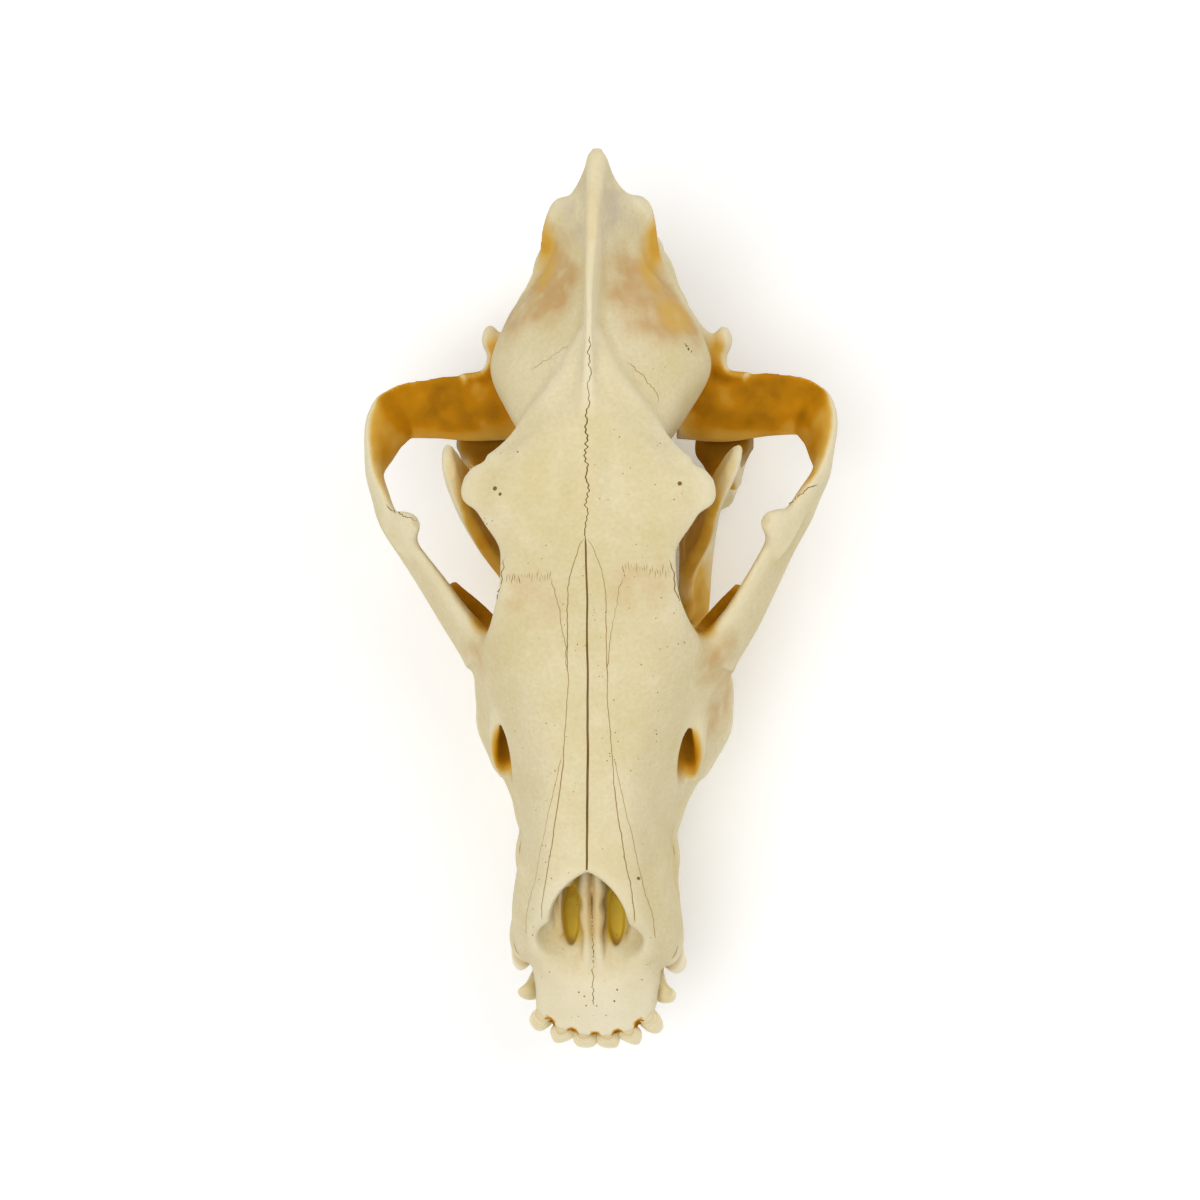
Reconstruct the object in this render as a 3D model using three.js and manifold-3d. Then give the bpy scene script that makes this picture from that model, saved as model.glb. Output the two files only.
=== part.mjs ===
// A wolf's skull with its lower jaw, life size, resting on the jaw. Millimetres, +Z up.
//
// The bones are drawn in the skull's own frame: X to the animal's left, Y from the front teeth
// to the back of the head, Z up from the gum line of the upper teeth. The whole skull is then
// tipped nose-up until it rests on the lower jaw, as it does on a table.
import * as THREE from "three";
import { mergeVertices } from "three/addons/utils/BufferGeometryUtils.js";
import Module from "manifold-3d";

const wasm = await Module();
wasm.setup();

// How the skull rests
const REST_PITCH = THREE.MathUtils.degToRad(7);
const REST_SHIFT = 2.83;
const REST_LIFT = 36.4;

// Fit between pieces
const GAP = 0.3;
const JOINT_PLAY = 0.5;
const CANINE_ROOM = 2.4;

// Facets
const STEPS_PER_STATION = 2;
const SIDES_PER_SPAN = 3;
const SWEEP_SIDES = 9;
const TOOTH_SIDES = 6;
const EGG_SIDES = [10, 6];
const MOUTH_SIDES = 16;
const SLOT_SIDES = 8;

// Cross-sections of the cranium from the front teeth to the back of the head. Each gives the
// left half of one section as half-width and height, from the roof's middle line to the floor's.
const SECTIONS = [
  { at: -133.6, roof: 6.6, edge: [3, 6.4], wall: [5, 5.4], flank: [5.4, 4], margin: [5, 3], floor: 3 },
  { at: -131.4, roof: 8, edge: [6, 7.6], wall: [11, 6.2], flank: [12.4, 4.2], margin: [11, 2], floor: 2.4 },
  { at: -126.5, roof: 10, edge: [8, 9.6], wall: [15, 7.4], flank: [17, 4.4], margin: [15.4, 1.4], floor: 2 },
  { at: -118, roof: 13.4, edge: [9.6, 14], wall: [16.6, 11.6], flank: [18.4, 6], margin: [16.4, 1], floor: 3 },
  { at: -108, roof: 20, edge: [13, 24], wall: [19.5, 18], flank: [23.5, 7], margin: [21.5, 0], floor: 4 },
  { at: -98, roof: 36.5, edge: [13, 33.6], wall: [21.6, 21], flank: [25, 7], margin: [23, 0], floor: 5 },
  { at: -84, roof: 41, edge: [12.5, 38.5], wall: [20.6, 23], flank: [23.6, 7], margin: [22.5, 0], floor: 5 },
  { at: -70, roof: 44, edge: [12.5, 41], wall: [20.4, 24], flank: [23, 7], margin: [22.5, 0], floor: 5 },
  { at: -57, roof: 47, edge: [13.5, 43.5], wall: [23, 26], flank: [28, 7], margin: [27, 0], floor: 5.5 },
  { at: -45, roof: 50, edge: [16, 46], wall: [27, 28], flank: [35.5, 8], margin: [34.5, 0], floor: 6 },
  { at: -34, roof: 53.5, edge: [19.5, 49], wall: [31.5, 29], flank: [38.2, 9], margin: [37, 0], floor: 6 },
  { at: -22, roof: 57.5, edge: [23, 53], wall: [34.6, 34], flank: [38.8, 13], margin: [35, 1], floor: 7 },
  { at: -12, roof: 62, edge: [24.8, 58], wall: [29, 41], flank: [26, 17], margin: [30, 2], floor: 7 },
  { at: -2, roof: 67, edge: [24.6, 63], wall: [20.5, 46], flank: [15, 20], margin: [17, 6], floor: 9 },
  { at: 9, roof: 72.5, edge: [24.8, 68], wall: [17.5, 50], flank: [11, 24], margin: [11, 13], floor: 16 },
  { at: 22, roof: 77, edge: [26, 72], wall: [17.5, 54], flank: [12, 28], margin: [11, 17], floor: 18 },
  { at: 36, roof: 77.5, edge: [18.5, 73], wall: [19.5, 58], flank: [16, 31], margin: [12, 18], floor: 18 },
  { at: 50, roof: 76, edge: [10, 72], wall: [24.5, 58], flank: [25.5, 34], margin: [15, 18], floor: 17 },
  { at: 64, roof: 72, edge: [11, 67], wall: [29, 52], flank: [32, 33], margin: [20, 17], floor: 16 },
  { at: 78, roof: 68, edge: [11, 63], wall: [26.4, 47], flank: [28, 31], margin: [22, 16], floor: 15 },
  { at: 90, roof: 67, edge: [8.5, 60], wall: [19.6, 46], flank: [22.4, 31], margin: [21, 16], floor: 15 },
  { at: 99, roof: 69.5, edge: [7, 63], wall: [15.8, 50], flank: [20, 34], margin: [17, 20], floor: 18 },
  { at: 106, roof: 72, edge: [6, 67], wall: [12.4, 58], flank: [12, 46], margin: [9, 37], floor: 34 },
  { at: 113, roof: 73.5, edge: [3.4, 71], wall: [5, 66], flank: [5.4, 59], margin: [4.4, 54], floor: 52 },
  { at: 120, roof: 74, edge: [1.6, 73], wall: [2.2, 71], flank: [2.2, 69], margin: [1.4, 67.5], floor: 67 },
];

// Sagittal crest: the blade along the roof, as foot, top and half-thickness at its top and foot
const CREST_NECK = 0.45;
const CREST_NECK_SPREAD = 0.22;
const CREST = [
  { at: 30, foot: 74.5, top: 76.6, half: 3, footHalf: 12 },
  { at: 42, foot: 73, top: 77.6, half: 2, footHalf: 11 },
  { at: 54, foot: 70, top: 79.2, half: 1.1, footHalf: 10 },
  { at: 66, foot: 65, top: 80.4, half: 0.8, footHalf: 9 },
  { at: 82, foot: 58, top: 81, half: 1.1, footHalf: 8.5 },
  { at: 98, foot: 58, top: 80, half: 1.8, footHalf: 7 },
  { at: 110, foot: 63, top: 77.5, half: 2.3, footHalf: 4.6 },
  { at: 118, foot: 67, top: 75.5, half: 2.3, footHalf: 2.8 },
  { at: 122.6, foot: 69, top: 73.2, half: 1.3, footHalf: 1.5 },
];

// Swept bones, left side. Each knot: middle, the direction of the section's width, half sizes.
const ARCH = [
  { mid: [24, 57, 23], wide: [0, 0.95, 0.3], half: [11, 6] },
  { mid: [38, 55.5, 21], wide: [0, 0.95, 0.32], half: [10, 4.6] },
  { mid: [51, 56, 21.5], wide: [-0.02, 0.92, 0.42], half: [9.8, 3.6] },
  { mid: [60.5, 55.2, 23], wide: [0.25, 0.75, 0.6], half: [10, 3.4] },
  { mid: [65.2, 49.6, 25], wide: [0.5, 0.45, 0.72], half: [9, 3.2] },
  { mid: [66.8, 42.5, 27], wide: [0.42, 0.12, 0.9], half: [7.6, 3] },
  { mid: [67.2, 35, 28.8], wide: [0, 0, 1], half: [6.8, 2.7] },
  { mid: [64.4, 27.6, 29.8], wide: [-0.2, 0, 0.97], half: [7.4, 2.7] },
  { mid: [61.4, 21, 30], wide: [-0.28, 0, 0.96], half: [8.6, 2.8] },
  { mid: [55.4, 11.5, 28.5], wide: [-0.3, 0, 0.95], half: [10, 2.9] },
  { mid: [49, 1, 26.3], wide: [-0.3, 0.1, 0.95], half: [10.6, 3.1] },
  { mid: [42.6, -9.5, 24.3], wide: [-0.25, 0.15, 0.95], half: [11.5, 4] },
  { mid: [35, -19.5, 23], wide: [-0.2, 0.15, 0.97], half: [13, 6] },
];
const JUGAL_HORN = [
  { mid: [58.5, 15, 34], wide: [0.5, 0.86, 0], half: [8, 2.8] },
  { mid: [55, 17, 39.5], wide: [0.5, 0.86, 0], half: [5.5, 2.6] },
  { mid: [52.2, 18, 42.6], wide: [0.5, 0.86, 0], half: [2.6, 1.8] },
];
const BROW_HORN = [
  { mid: [10, 20, 66.5], wide: [0, 1, 0.3], half: [15, 5] },
  { mid: [22, 21.5, 68.6], wide: [0, 1, 0.2], half: [13, 4] },
  { mid: [30, 23.5, 68.6], wide: [0, 1, 0.1], half: [7.6, 3] },
  { mid: [34.4, 24.2, 67.3], wide: [0, 1, 0], half: [5.2, 2.3] },
  { mid: [36.2, 24.6, 66.6], wide: [0, 1, 0], half: [2.6, 1.2] },
];
const NUCHAL_CREST = [
  { mid: [1.5, 114.5, 68.5], wide: [0.4, 0.85, 0.3], half: [2.2, 1.8] },
  { mid: [6, 109.4, 65], wide: [0.45, 0.85, 0.25], half: [2.2, 1.4] },
  { mid: [9.8, 107.4, 61], wide: [0.5, 0.85, 0.15], half: [3.6, 1.4] },
  { mid: [12.6, 102.6, 55.4], wide: [0.8, 0.55, 0.15], half: [4, 1.4] },
  { mid: [14.6, 95.2, 48], wide: [0.9, 0.4, 0.15], half: [4.3, 1.5] },
  { mid: [19.4, 85, 39], wide: [0.9, 0.4, 0.1], half: [4.4, 1.9] },
  { mid: [26, 75.6, 31], wide: [0.95, 0.3, 0.1], half: [4.8, 2.4] },
  { mid: [32.4, 73, 26.4], wide: [1, 0.1, 0], half: [4.4, 3] },
];
const EAR_RIDGE = [
  { mid: [35, 75.6, 28], wide: [0, 0, 1], half: [4, 2] },
  { mid: [34.4, 69, 27], wide: [0, 0, 1], half: [3.4, 2] },
  { mid: [36.4, 64.6, 26], wide: [0, 0, 1], half: [3, 2] },
  { mid: [43, 63.4, 25.4], wide: [0, 0, 1], half: [2.6, 1.8] },
];
const PTERYGOID = [
  { mid: [14.5, -8, 11], wide: [0, 0.1, 1], half: [9, 2.4] },
  { mid: [11.5, 8, 13], wide: [0, 0, 1], half: [10, 1.5] },
  { mid: [10.6, 24, 14], wide: [0, 0, 1], half: [9.5, 1.3] },
  { mid: [11, 35, 12], wide: [0, 0, 1], half: [8, 1.3] },
  { mid: [11.6, 41, 7], wide: [0, 0.2, 1], half: [3.2, 1.1] },
];

// Rounded bones, left side: middle, radii
const EAR_BULLA = { mid: [19.5, 72, 13.5], radii: [9.5, 14, 9.5] };
const EAR_KNOB = { mid: [35.2, 75.6, 28.5], radii: [2.4, 3.8, 4.4] };
const OCCIPITAL_CONDYLE = { mid: [10.2, 103, 22.5], radii: [7.6, 8, 9.5] };
const POSTGLENOID = { mid: [37, 57.8, 13], radii: [8.5, 2.8, 9] };
const PAROCCIPITAL = [
  { mid: [19.4, 86, 24], wide: [1, 0, 0], half: [5.4, 6] },
  { mid: [21, 89, 12], wide: [1, 0, 0], half: [3.8, 4] },
  { mid: [22, 90.6, 2.5], wide: [1, 0, 0], half: [2.3, 2.2] },
];

// Openings of the cranium
const NOSE_BOWL = { mid: [0, -110, 34], radii: [16.8, 13, 21] };
const NOSE = { front: -110, widest: -100, back: -85, half: 11.8, floorFront: 13, floorBack: 9.4, top: 60 };
const NOSE_POINT = 1.3;
const NOSE_TUNNEL = [
  { mid: [0, -104, 22], wide: [1, 0, 0], half: [11, 9] },
  { mid: [0, -90, 23], wide: [1, 0, 0], half: [12, 12] },
  { mid: [0, -72, 25], wide: [1, 0, 0], half: [11, 12] },
  { mid: [0, -54, 27], wide: [1, 0, 0], half: [8, 9] },
];
const SEPTUM = { half: 1.1, front: -113, back: -52, top: 25 };
const PALATE_SLOT = { at: [6.3, -98], half: [2.1, 8.5], floor: 2.4, top: 20 };
const CHEEK_CANAL = [
  { mid: [28.4, -61, 16], wide: [0.15, 0, 1], half: [3.6, 2.4] },
  { mid: [27.2, -54, 20.5], wide: [0.15, 0, 1], half: [4.8, 3] },
  { mid: [26.4, -47, 23.4], wide: [0.15, 0, 1], half: [4.8, 3] },
  { mid: [25.6, -34, 24.6], wide: [0.15, 0, 1], half: [4.2, 2.8] },
  { mid: [26.6, -10, 25], wide: [0.15, 0, 1], half: [4.4, 3] },
];
const BRAIN_HOLE = { mid: [0, 111, 28], radii: [10, 15, 8.5] };
const EAR_HOLE = { mid: [35, 70.5, 16.5], radii: [9, 4.2, 4.2] };

// Lower jaw, left half
const JAW_BODY = [
  { mid: [5, -125, -18.5], wide: [0, 0.3, 1], half: [5.5, 5] },
  { mid: [6.6, -116, -21], wide: [0, 0.25, 1], half: [9, 6.6] },
  { mid: [8.2, -101, -24], wide: [0, 0.1, 1], half: [11, 7.6] },
  { mid: [12.2, -82, -25.5], wide: [0, 0, 1], half: [11.6, 6.4] },
  { mid: [17, -62, -26.2], wide: [0, 0, 1], half: [12, 5.6] },
  { mid: [21.2, -42, -26.6], wide: [0, 0, 1], half: [13, 5.6] },
  { mid: [24, -22, -26.4], wide: [0, 0, 1], half: [13.6, 5.6] },
  { mid: [25.8, -4, -24.4], wide: [0.06, 0, 1], half: [14, 5.2] },
  { mid: [28.8, 14, -17.5], wide: [0.14, -0.1, 1], half: [16, 4.6] },
  { mid: [34.2, 32, -9], wide: [0.12, -0.2, 1], half: [16.5, 4.4] },
  { mid: [38, 43, -3], wide: [0.05, -0.3, 1], half: [11, 4.2] },
  { mid: [39, 47.5, 3], wide: [0, -0.3, 1], half: [6, 3.6] },
];
const CORONOID = [
  { mid: [28.6, 15, -16], wide: [0.22, 0.98, 0.1], half: [18, 3.6] },
  { mid: [31.4, 18.6, 2], wide: [0.24, 0.97, 0.05], half: [17, 3] },
  { mid: [35, 22.6, 20], wide: [0.25, 0.97, 0], half: [14.8, 2.5] },
  { mid: [38.8, 27.4, 36], wide: [0.25, 0.96, -0.1], half: [12, 2.2] },
  { mid: [41.2, 30.8, 45], wide: [0.22, 0.96, -0.2], half: [9.2, 2] },
  { mid: [42.4, 32.6, 49.6], wide: [0.2, 0.96, -0.2], half: [4.8, 1.6] },
];
const JAW_CONDYLE = [
  { mid: [28.6, 47, 6.6], wide: [0, 1, 0], half: [3, 2.8] },
  { mid: [31, 47.1, 7.2], wide: [0, 1, 0], half: [5.4, 5] },
  { mid: [38, 47.5, 8], wide: [0, 1, 0], half: [6, 5.6] },
  { mid: [43.4, 47.9, 8.4], wide: [0, 1, 0], half: [5, 4.6] },
  { mid: [45.6, 48, 8.4], wide: [0, 1, 0], half: [2.6, 2.4] },
];
const ANGLE = [
  { mid: [35.6, 36, -17], wide: [0.1, 0.3, 1], half: [9, 4.6] },
  { mid: [38.4, 48, -21.5], wide: [0, 0.3, 1], half: [5.5, 4] },
  { mid: [40.2, 57, -25.2], wide: [0, 0.3, 1], half: [3.8, 3.2] },
  { mid: [41, 62.5, -25.4], wide: [0, 0.3, 1], half: [2.2, 1.9] },
];
const CHEWING_HOLLOW = { mid: [43.6, 23, 4], radii: [8, 16, 20] };

// Upper teeth, left side: place of the crown's foot, crown length along the row, width across
// it, height, and how far the tip lies from the foot. A tooth with cusps is a row of cones.
const UPPER_TEETH = [
  { name: "incisor_1", at: [3.2, -133.6, 4], size: [5.9, 5.2, 11], tip: [0, -2.6], turn: 88, root: 2 },
  { name: "incisor_2", at: [9.8, -131.8, 4], size: [6.4, 5.8, 12], tip: [0.7, -2.4], turn: 68, root: 2 },
  { name: "incisor_3", at: [16.6, -126.8, 3.8], size: [8, 7, 15], tip: [1.8, -2], turn: 46, root: 2 },
  { name: "canine", at: [21.2, -103.5, 2], size: [14.2, 8.6, 27], tip: [2.4, -5.5], turn: 8, bend: 3 },
  { name: "premolar_1", at: [21, -90.5, 1], size: [7, 4.8, 6], tip: [0, -0.4], turn: -2 },
  { name: "premolar_2", at: [21.4, -78.6, 1], size: [13, 5.6, 8.6], tip: [0, -0.8], turn: -4 },
  { name: "premolar_3", at: [21.8, -63.4, 1], size: [14.6, 6, 9.6], tip: [0, -0.8], turn: -10 },
  { name: "carnassial_front", at: [30, -47.4, 1], size: [14, 8, 14], tip: [0.4, 1.5], turn: -24 },
  { name: "carnassial_back", at: [35.4, -38, 1], size: [11, 6.6, 9.4], tip: [0, 0], turn: -18 },
  { name: "molar_1_outer", at: [33.6, -24.6, 1], size: [15.6, 9, 7.6], tip: [0.4, 0], turn: 6 },
  { name: "molar_1_inner", at: [26.6, -22.6, 1.4], size: [11, 10, 6.2], tip: [-0.4, 0], turn: 8 },
  { name: "molar_2_outer", at: [29.8, -12.8, 1.4], size: [8.4, 6.4, 5.6], tip: [0, 0], turn: 12 },
  { name: "molar_2_inner", at: [24.8, -11.6, 1.8], size: [7, 7, 5], tip: [0, 0], turn: 10 },
];

// Lower teeth, left side, in the same terms. Their tips point up.
const LOWER_TEETH = [
  { name: "incisor_1", at: [2.4, -123.4, -15], size: [4.4, 4, 8], tip: [0, -4.4], turn: 88 },
  { name: "incisor_2", at: [6.6, -122.2, -15], size: [4.8, 4.6, 8.6], tip: [0.4, -4.2], turn: 74 },
  { name: "incisor_3", at: [10.8, -119.4, -15], size: [5.2, 5, 9], tip: [1, -3.4], turn: 52 },
  { name: "canine", at: [14.6, -111.6, -14], size: [13, 8.6, 23.5], tip: [8, -5.8], turn: 24, bend: 2.4 },
  { name: "premolar_1", at: [14.2, -98, -14.5], size: [5, 4, 5], tip: [0, -0.4], turn: -10 },
  { name: "premolar_2", at: [15, -88, -14.6], size: [11, 5, 8], tip: [0, -0.8], turn: -12 },
  { name: "premolar_3", at: [17.2, -75, -15], size: [12.6, 5.6, 9], tip: [0, -0.8], turn: -12 },
  { name: "premolar_4", at: [19.6, -60.6, -15], size: [14.6, 6.6, 10.4], tip: [0, -0.6], turn: -12 },
  { name: "carnassial_front", at: [22, -48, -14.6], size: [12, 8, 12], tip: [0, 0], turn: -11 },
  { name: "carnassial_mid", at: [23.6, -40, -14.6], size: [12, 8.4, 14], tip: [0, 0.8], turn: -11 },
  { name: "carnassial_heel", at: [25.2, -31, -14.4], size: [9.6, 8.6, 7.4], tip: [0, 0], turn: -11 },
  { name: "molar_2", at: [26.2, -20, -13.6], size: [10.6, 8, 6.2], tip: [0, 0], turn: -12 },
  { name: "molar_3", at: [26.8, -11.6, -12.4], size: [5, 4.6, 4.4], tip: [0, 0], turn: -8 },
];
const ROOT_DEPTH = 5;

// Where the cranium is parted, and a distance past the skull on every side
const FACE_CUT = 1;
const REACH = 200;
const ARCH_PLAN = [
  [49, 90], [49, 36], [40, 10], [37, -4], [46, -24], [95, -24], [95, 90],
];

const BONE = { color: 0xe3d6b0, roughness: 0.72, metalness: 0 };

// Geometry helpers

/** A closed geometry as a solid, turned right side out. */
function solid(geometry) {
  const bare = new THREE.BufferGeometry();
  bare.setAttribute("position", geometry.getAttribute("position"));
  bare.setIndex(geometry.index);
  const merged = mergeVertices(bare);
  const vertProperties = new Float32Array(merged.attributes.position.array);
  const triVerts = new Uint32Array(merged.index.array);
  const made = new wasm.Manifold(new wasm.Mesh({ numProp: 3, vertProperties, triVerts }));
  if (made.volume() > 0) return made;
  for (let i = 0; i < triVerts.length; i += 3) {
    [triVerts[i], triVerts[i + 1]] = [triVerts[i + 1], triVerts[i]];
  }
  return new wasm.Manifold(new wasm.Mesh({ numProp: 3, vertProperties, triVerts }));
}

const join = (solids) => solids.reduce((whole, piece) => whole.add(piece));
const cut = (body, tools) => tools.reduce((rest, tool) => rest.subtract(tool), body);
const largest = (body) => body.decompose().sort((a, b) => b.volume() - a.volume())[0];

/** A smooth curve through points. */
const curve = (points, closed = false) =>
  new THREE.CatmullRomCurve3(points, closed, "catmullrom", 0.5);

/** A skin over rings of points, each end closed by a fan about its middle. */
function loft(rings) {
  const around = rings[0].length;
  const points = rings.flat();
  const index = [];
  for (let r = 0; r + 1 < rings.length; r++) {
    for (let k = 0; k < around; k++) {
      const a = r * around + k;
      const b = r * around + ((k + 1) % around);
      index.push(a, b, a + around, b, b + around, a + around);
    }
  }
  for (const [first, front] of [[0, true], [(rings.length - 1) * around, false]]) {
    const middle = new THREE.Vector3();
    for (let k = 0; k < around; k++) middle.addScaledVector(points[first + k], 1 / around);
    for (let k = 0; k < around; k++) {
      const a = first + k;
      const b = first + ((k + 1) % around);
      index.push(points.length, front ? b : a, front ? a : b);
    }
    points.push(middle);
  }
  return new THREE.BufferGeometry().setFromPoints(points).setIndex(index);
}

/** An oval section carried along knots, each with its own middle, width direction and size. */
function sweep(knots, side = 1, sides = SWEEP_SIDES) {
  const flip = new THREE.Vector3(side, 1, 1);
  const vector = (list) => new THREE.Vector3(...list).multiply(flip);
  const path = curve(knots.map((k) => vector(k.mid)));
  const wides = curve(knots.map((k) => vector(k.wide)));
  const halves = curve(knots.map((k) => new THREE.Vector3(...k.half, 0)));
  const steps = (knots.length - 1) * STEPS_PER_STATION;
  const rings = [];
  for (let s = 0; s <= steps; s++) {
    const t = s / steps;
    const along = path.getTangent(t);
    const wide = wides.getPoint(t);
    wide.addScaledVector(along, -wide.dot(along)).normalize();
    const thick = new THREE.Vector3().crossVectors(along, wide);
    const half = halves.getPoint(t);
    rings.push(
      Array.from({ length: sides }, (_, k) => {
        const angle = (2 * Math.PI * k) / sides;
        return path
          .getPoint(t)
          .addScaledVector(wide, half.x * Math.cos(angle))
          .addScaledVector(thick, half.y * Math.sin(angle));
      }),
    );
  }
  return solid(loft(rings));
}

/** An egg: a sphere stretched to three radii. */
function egg({ mid, radii }, side = 1) {
  const ball = new THREE.SphereGeometry(1, ...EGG_SIDES);
  ball.scale(...radii);
  ball.translate(mid[0] * side, mid[1], mid[2]);
  return solid(ball);
}

/** A plan outline raised from one height to another. */
function prism(outline, low, high) {
  const shape = new THREE.Shape(outline.map(([x, y]) => new THREE.Vector2(x, y)));
  const body = new THREE.ExtrudeGeometry(shape, { depth: high - low, bevelEnabled: false });
  body.translate(0, 0, low);
  return solid(body);
}

function box(low, high) {
  const size = high.map((v, i) => v - low[i]);
  const body = new THREE.BoxGeometry(...size);
  body.translate(...low.map((v, i) => v + size[i] / 2));
  return solid(body);
}

// Cranium

/** The skin over the cross-sections: the face, the brow and the braincase in one. */
function vault() {
  const rails = [
    (s) => [0, s.at, s.roof],
    (s) => [s.edge[0], s.at, s.edge[1]],
    (s) => [s.wall[0], s.at, s.wall[1]],
    (s) => [s.flank[0], s.at, s.flank[1]],
    (s) => [s.margin[0], s.at, s.margin[1]],
    (s) => [0, s.at, s.floor],
  ].map((point) => curve(SECTIONS.map((s) => new THREE.Vector3(...point(s)))));
  const steps = (SECTIONS.length - 1) * STEPS_PER_STATION;
  const rings = [];
  for (let s = 0; s <= steps; s++) {
    const half = rails.map((rail) => rail.getPoint(s / steps));
    const mirrored = half.slice(1, -1).reverse().map((p) => new THREE.Vector3(-p.x, p.y, p.z));
    const outline = curve([...half, ...mirrored], true);
    rings.push(outline.getPoints((half.length + mirrored.length) * SIDES_PER_SPAN).slice(0, -1));
  }
  return solid(loft(rings));
}

/** The blade along the middle of the roof, thin at its top and spread at its foot. */
function sagittalCrest() {
  const rings = CREST.map(({ at, foot, top, half, footHalf }) => {
    const neck = foot + CREST_NECK * (top - foot);
    const neckHalf = half + CREST_NECK_SPREAD * (footHalf - half);
    return [
      [half, top - half / 2], [neckHalf, neck], [footHalf, foot],
      [-footHalf, foot], [-neckHalf, neck], [-half, top - half / 2], [0, top],
    ].map(([x, z]) => new THREE.Vector3(x, at, z));
  });
  return solid(loft(rings));
}

/** A tooth: an oval foot sunk in the bone, drawn out to a blunt tip that leans and bends. */
function tooth({ at, size, tip, turn, bend = 0, root = ROOT_DEPTH }, side, up) {
  const [length, width, height] = size;
  const angle = THREE.MathUtils.degToRad(turn) * side;
  const profile = [
    [-root, 0.8], [0.18 * height, 1], [0.5 * height, 0.78],
    [0.8 * height, 0.44], [height, 0.1],
  ];
  const rings = profile.map(([rise, share]) => {
    const t = Math.max(rise, 0) / height;
    const bow = bend * 4 * t * (1 - t);
    return Array.from({ length: TOOTH_SIDES }, (_, k) => {
      const a = (2 * Math.PI * k) / TOOTH_SIDES;
      const u = (length / 2) * share * Math.cos(a);
      const v = (width / 2) * share * Math.sin(a);
      return new THREE.Vector3(
        (at[0] + tip[0] * t) * side - u * Math.sin(angle) + v * Math.cos(angle),
        at[1] + tip[1] * t - bow + u * Math.cos(angle) + v * Math.sin(angle),
        at[2] + rise * up,
      );
    });
  });
  return solid(loft(rings));
}

/** The mouth of the nose: an arch in plan, pointed at the back, open upwards from a sloping floor. */
function noseMouth() {
  const ringAt = (height, share) =>
    Array.from({ length: MOUTH_SIDES }, (_, k) => {
      const angle = (2 * Math.PI * k) / MOUTH_SIDES;
      const along = Math.sin(angle);
      const across = Math.cos(angle);
      const end = along > 0 ? NOSE.back : NOSE.front;
      const point = along > 0 ? NOSE_POINT : 1;
      const x = NOSE.half * share * Math.sign(across) * Math.abs(across) ** point;
      const y = NOSE.widest + Math.abs(along) * share * (end - NOSE.widest);
      return new THREE.Vector3(x, y, height(along));
    });
  const floor = (t) => NOSE.floorFront + ((NOSE.floorBack - NOSE.floorFront) * (t + 1)) / 2;
  return solid(loft([
    ringAt(floor, 0.55),
    ringAt((t) => floor(t) + 2, 0.85),
    ringAt((t) => floor(t) + 7, 1),
    ringAt(() => NOSE.top, 1.02),
  ]));
}

function palateSlot(side) {
  const [x, y] = PALATE_SLOT.at;
  const [halfWide, halfLong] = PALATE_SLOT.half;
  const outline = Array.from({ length: SLOT_SIDES }, (_, k) => {
    const angle = (2 * Math.PI * k) / SLOT_SIDES;
    return [x * side + halfWide * Math.cos(angle), y + halfLong * Math.sin(angle)];
  });
  return prism(outline, PALATE_SLOT.floor, PALATE_SLOT.top);
}

function cranium() {
  const sides = [-1, 1];
  const both = (make) => sides.map(make);
  const bones = join([
    vault(),
    sagittalCrest(),
    ...[ARCH, JUGAL_HORN, BROW_HORN, NUCHAL_CREST, EAR_RIDGE, PTERYGOID, PAROCCIPITAL].flatMap((knots) =>
      both((side) => sweep(knots, side)),
    ),
    ...[EAR_BULLA, EAR_KNOB, OCCIPITAL_CONDYLE, POSTGLENOID].flatMap((shape) =>
      both((side) => egg(shape, side)),
    ),
  ]);
  const openings = [
    egg(NOSE_BOWL),
    noseMouth(),
    sweep(NOSE_TUNNEL),
    egg(BRAIN_HOLE),
    ...both((side) => sweep(CHEEK_CANAL, side)),
    ...both((side) => egg(EAR_HOLE, side)),
    ...both((side) => sweep(grown(JAW_CONDYLE, JOINT_PLAY), side)),
  ];
  const canineNotches = both((side) => tooth(canineRoom(), side, 1));
  const septum = box(
    [-SEPTUM.half, SEPTUM.front, NOSE.floorBack - 3],
    [SEPTUM.half, SEPTUM.back, SEPTUM.top],
  );
  const teeth = UPPER_TEETH.flatMap((shape) => both((side) => tooth(shape, side, -1)));
  const furnished = join([cut(bones, openings), septum, ...teeth]);
  return cut(furnished, [...both(palateSlot), ...canineNotches]);
}

/** The lower canine with room to spare all round, which the upper jaw leaves free. */
function canineRoom() {
  const canine = LOWER_TEETH.find((shape) => shape.name === "canine");
  return { ...canine, size: canine.size.map((v) => v + CANINE_ROOM) };
}

/** The same knots with their sections made larger all round. */
function grown(knots, by) {
  return knots.map((k) => ({ ...k, half: k.half.map((h) => h + by) }));
}

// Lower jaw

function jaw(side, floor) {
  const bone = join([JAW_BODY, CORONOID, JAW_CONDYLE, ANGLE].map((knots) => sweep(knots, side)));
  const hollowed = cut(bone, [egg(CHEWING_HOLLOW, side)]);
  const teeth = LOWER_TEETH.map((shape) => tooth(shape, side, 1));
  const [inner, outer] = side > 0 ? [GAP / 2, REACH] : [-REACH, -GAP / 2];
  const ownSide = box([inner, -REACH, -REACH], [outer, REACH, REACH]);
  return cut(join([hollowed, ...teeth]).intersect(ownSide), [floor]);
}

// Assembly

const skull = new THREE.Group();
skull.rotation.x = -REST_PITCH;
skull.position.set(0, REST_SHIFT, REST_LIFT);
skull.updateMatrix();

/** The table top, in the skull's own frame. */
function tableTop() {
  const slab = new THREE.BoxGeometry(300, 400, 60);
  slab.translate(0, 0, -30);
  slab.applyMatrix4(skull.matrix.clone().invert());
  return solid(slab);
}

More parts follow.
